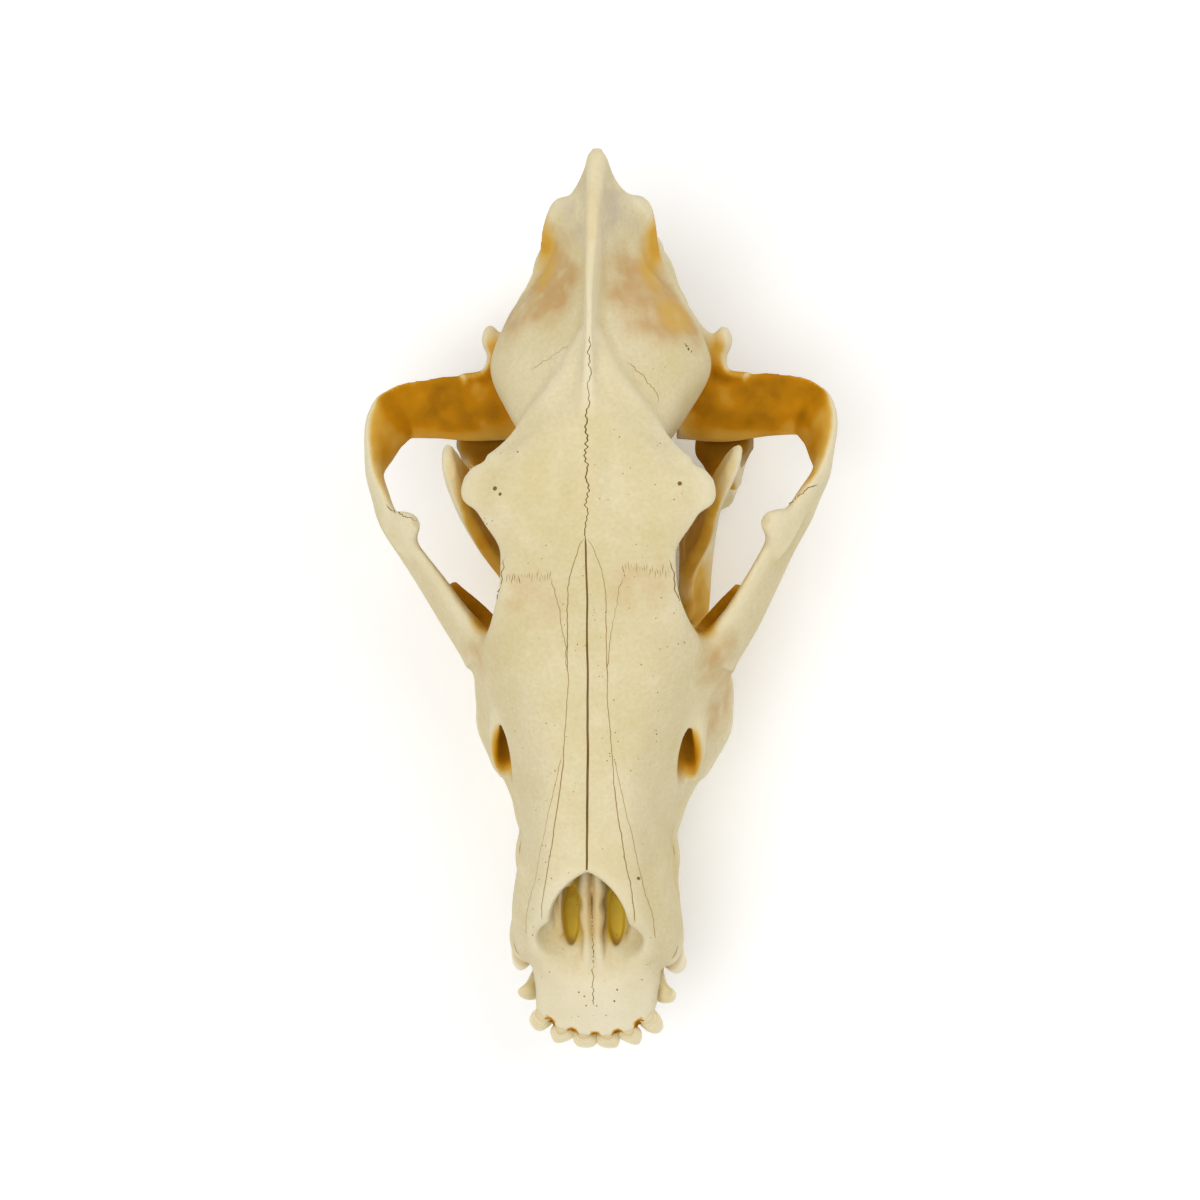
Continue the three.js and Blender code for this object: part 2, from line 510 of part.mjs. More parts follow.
function add(name, body) {
  const { numProp, vertProperties, triVerts } = largest(body).getMesh();
  const geometry = new THREE.BufferGeometry();
  const interleaved = new THREE.InterleavedBuffer(vertProperties, numProp);
  geometry.setAttribute("position", new THREE.InterleavedBufferAttribute(interleaved, 3, 0));
  geometry.setIndex(new THREE.BufferAttribute(triVerts, 1));
  const mesh = new THREE.Mesh(geometry, new THREE.MeshStandardMaterial(BONE));
  mesh.name = name;
  skull.add(mesh);
}

const whole = cranium();
const archRegion = (side, inset) =>
  prism(ARCH_PLAN.map(([x, y]) => [(x + inset) * side, y]), -REACH, REACH);
const middle = cut(whole, [-1, 1].map((side) => archRegion(side, 0)));
const faceEnd = FACE_CUT - GAP / 2;
const braincaseStart = FACE_CUT + GAP / 2;
add("muzzle", middle.intersect(box([-REACH, -REACH, -REACH], [REACH, faceEnd, REACH])));
add("braincase", middle.intersect(box([-REACH, braincaseStart, -REACH], [REACH, REACH, REACH])));
for (const [side, word] of [[1, "left"], [-1, "right"]]) {
  add(`cheek_arch_${word}`, whole.intersect(archRegion(side, GAP)));
  add(`lower_jaw_${word}`, jaw(side, tableTop()));
}

const part = new THREE.Group();
part.add(skull);
export default part;
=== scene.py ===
import math

import bpy
import numpy as np
import openvdb as vdb
from mathutils import Matrix, Vector


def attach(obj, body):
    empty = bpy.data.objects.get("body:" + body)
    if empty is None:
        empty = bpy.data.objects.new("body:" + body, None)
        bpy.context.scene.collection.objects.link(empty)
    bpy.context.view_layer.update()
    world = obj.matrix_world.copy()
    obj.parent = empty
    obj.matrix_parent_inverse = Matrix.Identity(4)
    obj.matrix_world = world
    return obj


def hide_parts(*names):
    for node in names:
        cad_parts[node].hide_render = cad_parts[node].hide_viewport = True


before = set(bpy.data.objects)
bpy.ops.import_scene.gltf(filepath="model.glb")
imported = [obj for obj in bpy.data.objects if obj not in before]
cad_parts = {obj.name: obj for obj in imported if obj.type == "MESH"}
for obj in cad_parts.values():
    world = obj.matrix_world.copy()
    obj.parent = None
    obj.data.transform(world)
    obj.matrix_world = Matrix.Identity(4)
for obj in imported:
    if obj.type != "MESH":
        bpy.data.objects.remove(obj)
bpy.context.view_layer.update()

# A wolf's skull with its lower jaw. All bones are drawn in the skull's own frame, in millimetres:
# X to the animal's left, Y from the front teeth to the back of the head, Z up from the gum line
# of the upper teeth. The skull is then tipped nose-up onto its lower jaw and set in metres.
REST_PITCH = math.radians(7)
REST_SHIFT = 2.83
REST_LIFT = 36.4
MM = 0.001
SIDES = (1, -1)

CELL = 0.6  # edge of a cell of the distance fields
BAND = 6.0  # distances are held this far from a surface
TINY = 1e-6  # keeps a division safe
MOST_TRIANGLES = 190_000

# Camera, in metres: found by laying the outline over the photo
CAMERA_AIM = (0.0006, 0.00264, 0.060)
CAMERA_DISTANCE = 0.940
CAMERA_LEAN = math.radians(4.5)
CAMERA_ROLL = math.radians(0.8)
PHOTO_HALF_WIDTH = 600  # in pixels
PHOTO_FOCUS = 3133  # focal length in pixels
CAMERA_FIELD = 2 * math.atan(PHOTO_HALF_WIDTH / PHOTO_FOCUS)

# Cross-sections of the cranium. Each row: place along Y, roof height, then half-width and height
# of the shoulder, the wall, the flank and the tooth margin, then floor height.
SECTIONS = [
    (-132.8, 6.8, 3, 6.6, 5, 5.6, 5.4, 4, 5, 3, 3),
    (-130.6, 8.2, 6, 7.8, 11, 6.4, 12.4, 4.2, 11, 2, 2.4),
    (-126.5, 10, 8, 9.6, 15, 7.4, 17, 4.4, 15.4, 1.4, 2),
    (-118, 13.4, 9.6, 14, 16.4, 11.6, 18, 6, 16.2, 1, 3),
    (-112, 16.4, 11.6, 18.6, 17.8, 15, 19.4, 6.6, 17.6, 0.4, 3.4),
    (-107, 21, 13.2, 25, 19.8, 18.4, 23, 7, 21.2, 0, 4),
    (-98, 36.5, 13, 33.6, 21.6, 21, 25, 7, 23, 0, 5),
    (-84, 41, 12.5, 38.5, 20.6, 23, 23.6, 7, 22.5, 0, 5),
    (-70, 44, 12.5, 41, 20.4, 24, 23, 7, 22.5, 0, 5),
    (-57, 47, 13.5, 43.5, 23, 26, 28, 7, 27, 0, 5.5),
    (-45, 50, 16, 46, 27, 28, 35.5, 8, 34.5, 0, 6),
    (-34, 53.5, 19.5, 49, 31.5, 29, 38.2, 9, 37, 0, 6),
    (-22, 57.5, 23, 53, 34.6, 34, 38.8, 13, 35, 1, 7),
    (-12, 62, 24.8, 58, 29, 41, 26, 17, 30, 2, 7),
    (-2, 67, 24.6, 63, 20.5, 46, 15, 20, 17, 6, 9),
    (9, 72.5, 24.8, 68, 17.5, 50, 11, 24, 11, 13, 16),
    (22, 77, 26, 72, 17.5, 54, 12, 28, 11, 17, 18),
    (36, 77.5, 18.5, 73, 19.5, 58, 16, 31, 12, 18, 18),
    (50, 76, 10, 72, 24.5, 58, 25.5, 34, 15, 18, 17),
    (64, 72, 11, 67, 29, 52, 32, 33, 20, 17, 16),
    (78, 68, 11, 63, 26.4, 47, 28, 31, 22, 16, 15),
    (90, 67, 8.5, 60, 19.6, 46, 22.4, 31, 21, 16, 15),
    (99, 69.5, 7, 63, 15.8, 50, 20, 34, 17, 20, 18),
    (106, 72, 6, 67, 12.4, 58, 12, 46, 9, 37, 34),
    (113, 73.5, 3.4, 71, 5, 66, 5.4, 59, 4.4, 54, 52),
    (120, 74, 1.6, 73, 2.2, 71, 2.2, 69, 1.4, 67.5, 67),
]

# Sagittal crest: place along Y, height of foot and top, half-thickness of top and foot
CREST = [
    (24, 70, 73.4, 3, 9), (40, 70, 76.7, 2.6, 10), (50, 70, 77.4, 1.9, 10), (60, 67.5, 78.8, 1.2, 9.6),
    (70, 63, 80.3, 0.8, 9), (82, 58, 81, 1.1, 8.5), (98, 58, 80, 1.8, 7), (110, 63, 77.5, 2.3, 4.6),
    (118, 67, 75.5, 2.3, 2.8), (122.6, 69, 73.2, 1.3, 1.5),
]


def one_way(way, rows):
    """Knots whose widths all point one way. Each row: middle (3), half width, half thickness."""
    return [(x, y, z, *way, wide, thick) for x, y, z, wide, thick in rows]


# Swept bones of the left side. Each knot: middle (3), direction of the section's width (3), half
# width and half thickness.
ARCH = [
    (24, 57, 23, 0, 0.95, 0.3, 11, 6), (38, 55.5, 21, 0, 0.95, 0.32, 10, 4.6),
    (51, 56, 21.5, -0.02, 0.92, 0.42, 9.8, 3.6), (60.5, 55.2, 23, 0.25, 0.75, 0.6, 10, 3.4),
    (65.2, 49.6, 25, 0.5, 0.45, 0.72, 9, 3.2), (66.8, 42.5, 27, 0.42, 0.12, 0.9, 7.6, 3),
    (67.2, 35, 28.8, 0, 0, 1, 6.8, 2.7), (64.4, 27.6, 29.8, -0.2, 0, 0.97, 7.4, 2.7),
    (61.4, 21, 30, -0.28, 0, 0.96, 8.6, 2.8), (55.4, 11.5, 28.5, -0.3, 0, 0.95, 10, 2.9),
    (49, 1, 26.3, -0.3, 0.1, 0.95, 10.6, 3.1), (42.6, -9.5, 24.3, -0.25, 0.15, 0.95, 11.5, 4),
    (35, -19.5, 23, -0.2, 0.15, 0.97, 13, 6),
]
JUGAL_HORN = one_way((0.5, 0.86, 0), [
    (58.5, 15, 34, 8, 2.8), (55, 17, 39.5, 5.5, 2.6), (52.2, 18, 42.6, 2.6, 1.8),
])
BROW_HORN = [
    (10, 20, 66.5, 0, 1, 0.3, 15, 5), (22, 21.5, 68.6, 0, 1, 0.2, 13, 4),
    (30, 23.5, 68.6, 0, 1, 0.1, 7.6, 3), (34.4, 24.2, 67.3, 0, 1, 0, 5.2, 2.3),
    (36.2, 24.6, 66.6, 0, 1, 0, 2.6, 1.2),
]
TEMPORAL_LINE = one_way((0, 0, 1), [
    (27, 31, 0, 2, 2.4), (19, 39.5, 0, 2, 2.4), (10.5, 50, 0, 1.9, 2.2), (5, 58.5, 0, 1.3, 1.5),
    (2, 67, 0, 0.8, 0.8),
])
LINE_SUNK = 1.7  # the temporal line's middle lies this far below the roof
NUCHAL_CREST = [
    (1.5, 114.5, 68.5, 0.4, 0.85, 0.3, 2.2, 1.8), (6, 109.4, 65, 0.45, 0.85, 0.25, 2.2, 1.4),
    (10.4, 108, 61.4, 0.5, 0.85, 0.15, 3.4, 1.3), (12.6, 102.6, 55.4, 0.8, 0.55, 0.15, 4, 1.4),
    (14.6, 95.2, 48, 0.9, 0.4, 0.15, 4.3, 1.5), (19.4, 85, 39, 0.9, 0.4, 0.1, 4.4, 1.9),
    (26, 75.6, 31, 0.95, 0.3, 0.1, 4.8, 2.4), (32.4, 73, 26.4, 1, 0.1, 0, 4.4, 3),
]
EAR_RIDGE = one_way((0, 0, 1), [
    (35, 75.6, 28, 4, 2), (33.4, 69, 27, 3.6, 2.8), (36.4, 64.6, 26, 3, 2), (43, 63.4, 25.4, 2.6, 1.8),
])
ORBIT_SHELF = [
    (44.4, 2, 19, 0.83, -0.55, 0, 1.8, 1.2), (40.6, -4.4, 19.4, 0.83, -0.55, 0, 4, 1.8),
    (36.4, -10, 19.6, 0.83, -0.55, 0, 5, 2.2), (31.6, -15.6, 20, 0.8, -0.6, 0, 5, 3),
]
PTERYGOID = [
    (14.5, -8, 11, 0, 0.1, 1, 9, 2.4), (11.5, 8, 13, 0, 0, 1, 10, 1.5),
    (10.6, 24, 14, 0, 0, 1, 9.5, 1.3), (11, 35, 12, 0, 0, 1, 8, 1.3),
    (11.6, 41, 7, 0, 0.2, 1, 3.2, 1.1),
]
PAROCCIPITAL = one_way((1, 0, 0), [
    (19.4, 86, 24, 5.4, 6), (21, 89, 12, 3.8, 4), (22, 90.6, 2.5, 2.3, 2.2),
])
CANINE_SWELL = [
    (20.6, -103.6, 3, 0, 1, 0, 7, 3.6), (20.2, -98, 11, 0, 1, 0.3, 6.6, 3.4),
    (19, -91, 18, 0, 1, 0.4, 5.5, 3), (18, -84, 24, 0, 1, 0.5, 3.5, 2.2),
]
CHEEK_LIP = one_way((0, 0, 1), [
    (28.6, -56, 13, 2, 1.2), (30, -51, 16, 3, 2), (30.4, -44.6, 20, 3.4, 2.6), (30.2, -38, 22, 3, 2),
])

# Rounded bones of the left side: middle (3), radii (3)
EAR_BULLA = (19.5, 72, 13.5, 9.5, 14, 9.5)
OCCIPITAL_CONDYLE = (10.2, 103, 22.5, 7.6, 8, 9.5)
POSTGLENOID = (37, 57.8, 13, 8.5, 2.8, 9)
EAR_KNOB = (35.2, 75.6, 28.5, 2.4, 3.8, 4.4)

# Hollows and openings
BROW_HOLLOW = (0, 16, 88, 9, 34, 13.6)
SHELF_HOLLOW = (50, 58.5, 32.4, 17, 8, 9)
NUCHAL_HOLLOW = one_way((0, 0, 1), [
    (10.6, 105.6, 65.6, 1.8, 1.8), (14.2, 100.6, 58.8, 3, 2.8), (18.8, 92.6, 48.8, 3, 2.8),
    (23.2, 86, 41.6, 1.8, 1.8),
])
NOSE_MOUTH = dict(front=-110, widest=-100, back=-85, half=11.6, floor_front=13, floor_back=9.4, top=60,
                  point=1.55)
# Rounding of its floor: rise, share of the full width there
NOSE_FLOOR_EDGE = [(0, 0.2), (0.3, 0.5), (1.2, 0.75), (3, 0.9), (7, 0.98), (12, 1)]
NOSE_BOWL = (0, -110, 34, 16.8, 13, 21)
NOSE_HOLLOW = (0, -104.6, 24, 15.6, 9.5, 11)
NOSE_TUNNEL = one_way((1, 0, 0), [
    (0, -104, 22, 11, 9), (0, -90, 23, 12, 12.6), (0, -72, 25, 11, 13), (0, -54, 27, 8, 10),
])
VOMER_BAR = one_way((1, 0, 0), [
    (1.7, -72, 25, 1.8, 5), (1.9, -84, 22.6, 1.7, 4.4), (2.2, -89, 21, 2.1, 4),
    (1.8, -93, 19.6, 1.5, 3.8), (2, -97, 18, 1.9, 3.4), (1.6, -102, 16, 1.4, 2.8),
    (1.8, -108, 13.8, 1.7, 2), (2.2, -113, 12.2, 1.9, 1.4),
])
NOSE_SCROLL = one_way((1, 0, 0), [
    (-7, -78, 26, 2.4, 3), (-7.6, -88, 22, 2.6, 2.4), (-9.2, -95, 18, 2.6, 2),
    (-10.6, -102, 14, 2.2, 1.8),
])
PALATE_SLOT = one_way((0, 1, 0), [
    (6.8, -96, 24, 10, 2.4), (6.8, -97, 13, 9, 2.4), (6.8, -97.6, 9.6, 8, 2.2),
    (6.8, -97.6, 8.6, 5, 1.2),
])
CHEEK_CANAL = one_way((0.15, 0, 1), [
    (29.6, -62, 14, 3.6, 2.6), (28, -55, 19, 5, 3.2), (26.8, -47, 23, 4.8, 3),
    (25.6, -34, 24.6, 4.2, 2.8), (26.6, -10, 25, 4.4, 3),
])
BRAIN_HOLE = (0, 111, 28, 10, 15, 8.5)
EAR_HOLE = (35, 70.5, 16.5, 9, 4.2, 4.2)
THROAT = (0, 12, 7, 8.4, 18, 8)

# Lower jaw, left half
JAW_BODY = [
    (5, -125, -18.5, 0, 0.3, 1, 5.5, 5), (6.6, -116, -21, 0, 0.25, 1, 9, 6.6),
    (8.2, -101, -24, 0, 0.1, 1, 11, 7.6), (12.2, -82, -25.5, 0, 0, 1, 11.6, 6.4),
    (17, -62, -26.2, 0, 0, 1, 12, 5.6), (21.2, -42, -26.6, 0, 0, 1, 13, 5.6),
    (24, -22, -26.4, 0, 0, 1, 13.6, 5.6), (25.8, -4, -24.4, 0.06, 0, 1, 14, 5.2),
    (28.8, 14, -17.5, 0.14, -0.1, 1, 16, 4.6), (34.2, 32, -9, 0.12, -0.2, 1, 16.5, 4.4),
    (38, 43, -3, 0.05, -0.3, 1, 11, 4.2), (39, 47.5, 3, 0, -0.3, 1, 6, 3.6),
]
CORONOID = [
    (28.6, 15, -16, 0.22, 0.98, 0.1, 18, 3.6), (31.4, 18.6, 2, 0.24, 0.97, 0.05, 16.5, 2.8),
    (35, 22.6, 20, 0.25, 0.97, 0, 14, 2.2), (38.8, 27.4, 36, 0.25, 0.96, -0.1, 11.4, 1.9),
    (41.2, 30.8, 45, 0.22, 0.96, -0.2, 8.6, 1.8), (42.4, 32.6, 49.6, 0.2, 0.96, -0.2, 4.4, 1.4),
]
CORONOID_EDGE = one_way((1, 0, 0), [
    (24.8, -3, -9, 2.8, 3), (26.8, 2.5, 8, 2.4, 2.4), (29.4, 7, 20, 2.2, 2.1), (32.4, 11.8, 29, 2, 2),
    (35.6, 17, 37, 1.9, 1.9), (38.9, 22.8, 43.6, 1.8, 1.8), (41.4, 28.4, 48, 1.8, 1.7),
    (43, 35, 49.6, 1.7, 1.6), (43.3, 39, 47, 1.4, 1.3),
])
CONDYLE_CREST = one_way((1, 0, 0), [
    (43.4, 38, 45, 1.4, 1.4), (42.8, 35.6, 34, 1.7, 2.2), (42.2, 32, 22, 1.9, 2.8),
    (39.6, 36, 11, 2, 2.8),
])
CONDYLE_NECK = (37.8, 41.4, 7, 6, 4, 6)
JAW_CONDYLE = one_way((0, 1, 0), [
    (28.6, 47, 6.6, 3, 2.8), (31, 47.1, 7.2, 5.4, 5), (38, 47.5, 8, 6, 5.6), (43.4, 47.9, 8.4, 5, 4.6),
    (45.6, 48, 8.4, 2.6, 2.4),
])
JAW_ANGLE = [
    (35.6, 36, -17, 0.1, 0.3, 1, 9, 4.6), (38.4, 48, -21.5, 0, 0.3, 1, 5.5, 4),
    (40.2, 57, -25.2, 0, 0.3, 1, 3.8, 3.2), (41, 62.5, -25.4, 0, 0.3, 1, 2.2, 1.9),
]
CHEWING_HOLLOW = (43.6, 23, 4, 8, 16, 20)
CHIN_HOLES = [(16.6, -92, -24, 3, 2.4, 1.5), (20.6, -76, -25, 3, 1.6, 1.2)]
SYMPHYSIS_HALF_GAP = 0.2

# Teeth of the left side: kind, foot (3), crown length along the row, width across it, height,
# how far the tip lies from the foot (2), turn of the row in degrees.
UPPER_TEETH = [
    ("incisor", 3.45, -132.2, 3.8, 7.2, 6, 11.4, 0, -3.8, 88),
    ("incisor", 9.8, -130.8, 3.8, 7.4, 6.4, 12.4, 0.8, -3.4, 68),
    ("incisor", 15.3, -126.7, 3.8, 8.6, 7.4, 15.4, 2.0, -2.8, 46),
    ("canine", 21.4, -103.5, 2, 14.2, 8.6, 27, 4.6, -5.5, 8),
    ("premolar", 21, -90.5, 1, 7, 4.8, 6, 0, -0.4, -2),
    ("premolar", 21.4, -78.6, 1, 13, 5.6, 8.6, 0, -0.8, -4),
    ("premolar", 21.8, -63.4, 1, 14.6, 6, 9.6, 0, -0.8, -10),
    ("blade", 30, -47.4, 1, 14, 8, 14, 0.4, 1.5, -24),
    ("blade", 35.4, -38, 1, 11, 6.6, 9.4, 0, 0, -18),
    ("molar", 33.6, -24.6, 1, 15.6, 9, 7.6, 0.4, 0, 6),
    ("molar", 26.6, -22.6, 1.4, 11, 10, 6.2, -0.4, 0, 8),
    ("molar", 29.8, -12.8, 1.4, 8.4, 6.4, 5.6, 0, 0, 12),
    ("molar", 24.8, -11.6, 1.8, 7, 7, 5, 0, 0, 10),
]
LOWER_TEETH = [
    ("incisor", 2.4, -123.4, -15, 4.4, 4, 8, 0, -4.4, 88),
    ("incisor", 6.6, -122.2, -15, 4.8, 4.6, 8.6, 0.4, -4.2, 74),
    ("incisor", 10.8, -119.4, -15, 5.2, 5, 9, 1, -3.4, 52),
    ("canine", 14.6, -111.6, -14, 13, 9, 23.5, 8, -8.4, 24),
    ("premolar", 14.2, -98, -14.5, 5, 4, 5, 0, -0.4, -10),
    ("premolar", 15, -88, -14.6, 11, 5, 8, 0, -0.8, -12),
    ("premolar", 17.2, -75, -15, 12.6, 5.6, 9, 0, -0.8, -12),
    ("premolar", 19.6, -60.6, -15, 14.6, 6.6, 10.4, 0, -0.6, -12),
    ("blade", 22, -48, -14.6, 12, 8, 12, 0, 0, -11),
    ("blade", 23.6, -40, -14.6, 12, 8.4, 14, 0, 0.8, -11),
    ("molar", 25.2, -31, -14.4, 9.6, 8.6, 7.4, 0, 0, -11),
    ("molar", 26.2, -20, -13.6, 10.6, 8, 6.2, 0, 0, -12),
    ("molar", 26.8, -11.6, -12.4, 5, 4.6, 4.4, 0, 0, -8),
]
ROOT_DEPTH = dict(incisor=2.0)  # how far the root reaches into the bone
USUAL_ROOT = 6.0
WHITE_NECK = dict(incisor=0.3)  # how far the enamel's white runs past the neck
LOWER_CANINE = 3  # its row in the list
CANINE_ROOM = 1.6  # how much larger its room in the upper jaw is
# Pits of the jaw's edge between the front teeth: middle (3), radii (3)
GUM_PITS = [(0, -133.6, 5.4, 1.2, 1.7, 3), (6.8, -132.6, 5.4, 1.3, 1.7, 3), (13.5, -129.6, 5.2, 1.4, 1.7, 3)]

# Height up the crown and share of the full width there, root first
CROWN_PROFILES = {
    "incisor": [(-1, 0.56), (0, 0.68), (0.12, 0.78), (0.26, 0.98), (0.45, 1), (0.7, 0.86), (0.9, 0.6),
                (1, 0.12)],
    "canine": [(-1, 0.9), (0, 0.98), (0.2, 0.94), (0.45, 0.74), (0.7, 0.48), (0.9, 0.24), (1, 0.05)],
    "premolar": [(-1, 0.8), (0, 0.92), (0.18, 1), (0.4, 0.84), (0.65, 0.52), (0.88, 0.24), (1, 0.05)],
    "blade": [(-1, 0.82), (0, 0.94), (0.18, 1), (0.42, 0.84), (0.7, 0.5), (0.9, 0.24), (1, 0.05)],
    "molar": [(-1, 0.82), (0, 0.96), (0.3, 1), (0.55, 0.86), (0.75, 0.6), (0.92, 0.3), (1, 0.05)],
}
BOW = dict(canine=2.6)  # how far the middle of the crown bows forwards
THINNING = dict(incisor=0.45)  # share of the width that is lost towards the tip
SQUARENESS = dict(incisor=0.7)  # power of the section: under 1 is boxy, over 1 is keeled
USUAL_SQUARENESS = 1.1

# Room of each distance field, and bones with the width of their fillets
CRANIUM_ROOM = ((-76, -142, -12), (76, 128, 87))
CRANIUM_SWEEPS = [(ARCH, 4), (BROW_HORN, 5), (JUGAL_HORN, 2.5), (NUCHAL_CREST, 2.5), (EAR_RIDGE, 2.5),
                  (ORBIT_SHELF, 3), (PTERYGOID, 2), (PAROCCIPITAL, 3), (CANINE_SWELL, 6), (CHEEK_LIP, 3)]
CRANIUM_EGGS = [(EAR_BULLA, 2.5), (OCCIPITAL_CONDYLE, 2.5), (POSTGLENOID, 2), (EAR_KNOB, 2)]
JAW_ROOM = ((-4, -134, -46), (54, 68, 56))
JAW_SWEEPS = [(JAW_BODY, 0), (CORONOID, 4), (CORONOID_EDGE, 2), (CONDYLE_CREST, 3), (JAW_CONDYLE, 2.5)]
JOINT_GAP = 0.6  # between the jaw's condyle and its socket


# Shape functions


def catmull_rom(a, b, c, d, f):
    """The smooth curve from b to c, a share f of the way, with a before it and d after it."""
    return b + 0.5 * f * (c - a + f * (2 * a - 5 * b + 4 * c - d + f * (3 * (b - c) + d - a)))


def smooth(points, count):
    """So many points, evenly spread, of the smooth curve through the given rows, by Catmull-Rom."""
    p = np.asarray(points, float)
    p = np.concatenate([2 * p[:1] - p[1:2], p, 2 * p[-1:] - p[-2:-1]])
    place = np.linspace(0, 1, count) * (len(p) - 3)
    i = np.minimum(place.astype(int), len(p) - 4)
    f = (place - i)[:, None]
    return catmull_rom(*(p[i + k] for k in range(4)), f)


def unit(v):
    """Vectors scaled to length 1."""
    return v / np.maximum(np.linalg.norm(v, axis=-1, keepdims=True), TINY)


def circle(count):
    """Angles once round a circle."""
    return np.linspace(0, 2 * np.pi, count, endpoint=False)


def signed_power(v, power):
    """A number's size to a power, with its sign."""
    return np.sign(v) * np.abs(v) ** power


def mirrored(rows):
    """The same rows on the other side."""
    return [(-x, *rest) for x, *rest in rows]


def skin(rings):
    """A closed surface over rings of points, each end closed by a fan about its middle."""
    rows, around = rings.shape[:2]
    index = np.arange(rows * around).reshape(rows, around)
    after = np.roll(index, -1, axis=1)
    quads = np.stack([index[:-1], after[:-1], after[1:], index[1:]], -1).reshape(-1, 4)
    first, last = rows * around, rows * around + 1
    points = np.concatenate([rings.reshape(-1, 3), rings[0].mean(0)[None], rings[-1].mean(0)[None]])
    start = np.stack([after[0], index[0], np.full(around, first)], -1)
    end = np.stack([index[-1], after[-1], np.full(around, last)], -1)
    return points, quads, np.concatenate([start, end])


def sweep(knots, side=1, around=32, along=10, grow=0.0):
    """An oval carried along a path: the point at angle a is mid + wide cos a + thick sin a."""
    k = np.array(knots, float)
    k[:, [0, 3]] *= side
    row = smooth(k, along * (len(k) - 1) + 1)
    mid, half = row[:, :3], row[:, 6:8] + grow
    ahead = unit(np.gradient(mid, axis=0))
    wide = row[:, 3:6]
    wide = unit(wide - ahead * (wide * ahead).sum(1, keepdims=True))
    thick = np.cross(ahead, wide)
    a = circle(around)
    out = (half[:, :1] * np.cos(a))[..., None] * wide[:, None]
    out = out + (half[:, 1:] * np.sin(a))[..., None] * thick[:, None]
    return skin(mid[:, None] + out)


def egg(shape, side=1, across=24, around=40, pole=0.02):
    """A ball stretched to three radii: the point at polar angle p and turn a, from pole to pole."""
    x, y, z, rx, ry, rz = shape
    p = np.linspace(pole, np.pi - pole, across)[:, None]
    a = circle(around)[None]
    ball = np.stack([np.sin(p) * np.cos(a), np.sin(p) * np.sin(a), np.cos(p) + 0 * a], -1)
    return skin(ball * (rx, ry, rz) + (x * side, y, z))


def vault(along=10, span=8):
    """The face, brow and braincase: rails run through the sections, and a closed smooth curve
    through the rails is the section at each place."""
    rail = smooth(SECTIONS, along * (len(SECTIONS) - 1) + 1)
    y, zero = rail[:, 0], np.zeros(len(rail))
    walls = [(rail[:, c], rail[:, c + 1]) for c in (2, 4, 6, 8)]
    half = [(zero, rail[:, 1])] + walls + [(zero, rail[:, 10])]
    loop = half + mirrored(half[-2:0:-1])
    p = np.stack([np.stack([x, y, z], -1) for x, z in loop], 1)
    count = p.shape[1]
    place = np.arange(count * span) / span
    i = place.astype(int)
    f = (place - i)[None, :, None]
    return skin(catmull_rom(*(p[:, (i + k) % count] for k in (-1, 0, 1, 2)), f))


def crest_blade(along=80, neck=0.45, flare=0.22, bevel=0.6, corner=0.1):
    """The blade along the roof: a thin upright section, bevelled at its top and flared from its neck
    to its foot, carried along Y."""
    y, foot, top, half, spread = smooth(CREST, along).T
    left = [(half * bevel, top - corner), (half, top - half * bevel),
            (half + flare * (spread - half), foot + neck * (top - foot)), (spread, foot)]
    outline = left + mirrored(left[::-1])
    return skin(np.stack([np.stack([x, y, z], -1) for x, z in outline], 1))


def nose_mouth(around=64):
    """The mouth of the nose: an arch in plan, pointed at the back, from a sloping floor straight
    up. Its half-width is a power of the cosine of the angle about its widest place."""
    n = NOSE_MOUTH
    a = circle(around)
    t, c = np.sin(a), np.cos(a)
    reach = np.abs(t) * np.where(t > 0, n["back"] - n["widest"], n["front"] - n["widest"])
    floor = n["floor_front"] + (n["floor_back"] - n["floor_front"]) * (t + 1) / 2
    x = n["half"] * signed_power(c, np.where(t > 0, n["point"], 1))
    rings = []
    for rise, share in NOSE_FLOOR_EDGE:
        rings.append(np.stack([x * share, n["widest"] + reach * share, floor + rise], -1))
    rings.append(np.stack([x, n["widest"] + reach, np.full_like(x, n["top"])], -1))
    return skin(np.array(rings))


def tooth(row, side, up, grow=0.0, around=28, along=6):
    """A crown: ovals stacked from the root to the tip, which leans and bows."""
    kind, x, y, z, length, width, height, tip_x, tip_y, turn = row
    length, width, height = length + grow, width + grow, height + grow
    profile = CROWN_PROFILES[kind]
    rise, share = smooth(profile, along * (len(profile) - 1) + 1).T
    depth = np.where(rise < 0, rise * ROOT_DEPTH.get(kind, USUAL_ROOT), rise * height)
    t = np.clip(rise, 0, 1)
    a = circle(around)
    power = SQUARENESS.get(kind, USUAL_SQUARENESS)
    u = 0.5 * length * share[:, None] * signed_power(np.cos(a), power)
    v = 0.5 * width * share[:, None] * signed_power(np.sin(a), power)
    v = v * (1 - THINNING.get(kind, 0) * t[:, None])
    turn = math.radians(turn) * side
    bow = BOW.get(kind, 0) * 4 * t * (1 - t)
    px = (x + tip_x * t[:, None]) * side - u * math.sin(turn) + v * math.cos(turn)
    py = y + tip_y * t[:, None] - bow[:, None] + u * math.cos(turn) + v * math.sin(turn)
    pz = z + up * depth[:, None] + 0 * u
    return skin(np.stack([px, py, pz], -1))


def waves(p, length, seed, count=14, spread=(0.7, 1.4)):
    """Smooth noise from -1 to 1: a sum of sine waves of about one length in random directions."""
    rng = np.random.default_rng(seed)
    way = unit(rng.normal(size=(count, 3))) * (2 * np.pi / (length * rng.uniform(*spread, (count, 1))))
    total = np.sin(p @ way.T + rng.uniform(0, 2 * np.pi, count)).sum(1)
    return np.clip(total / math.sqrt(count), -2, 2) / 2


# Distance fields


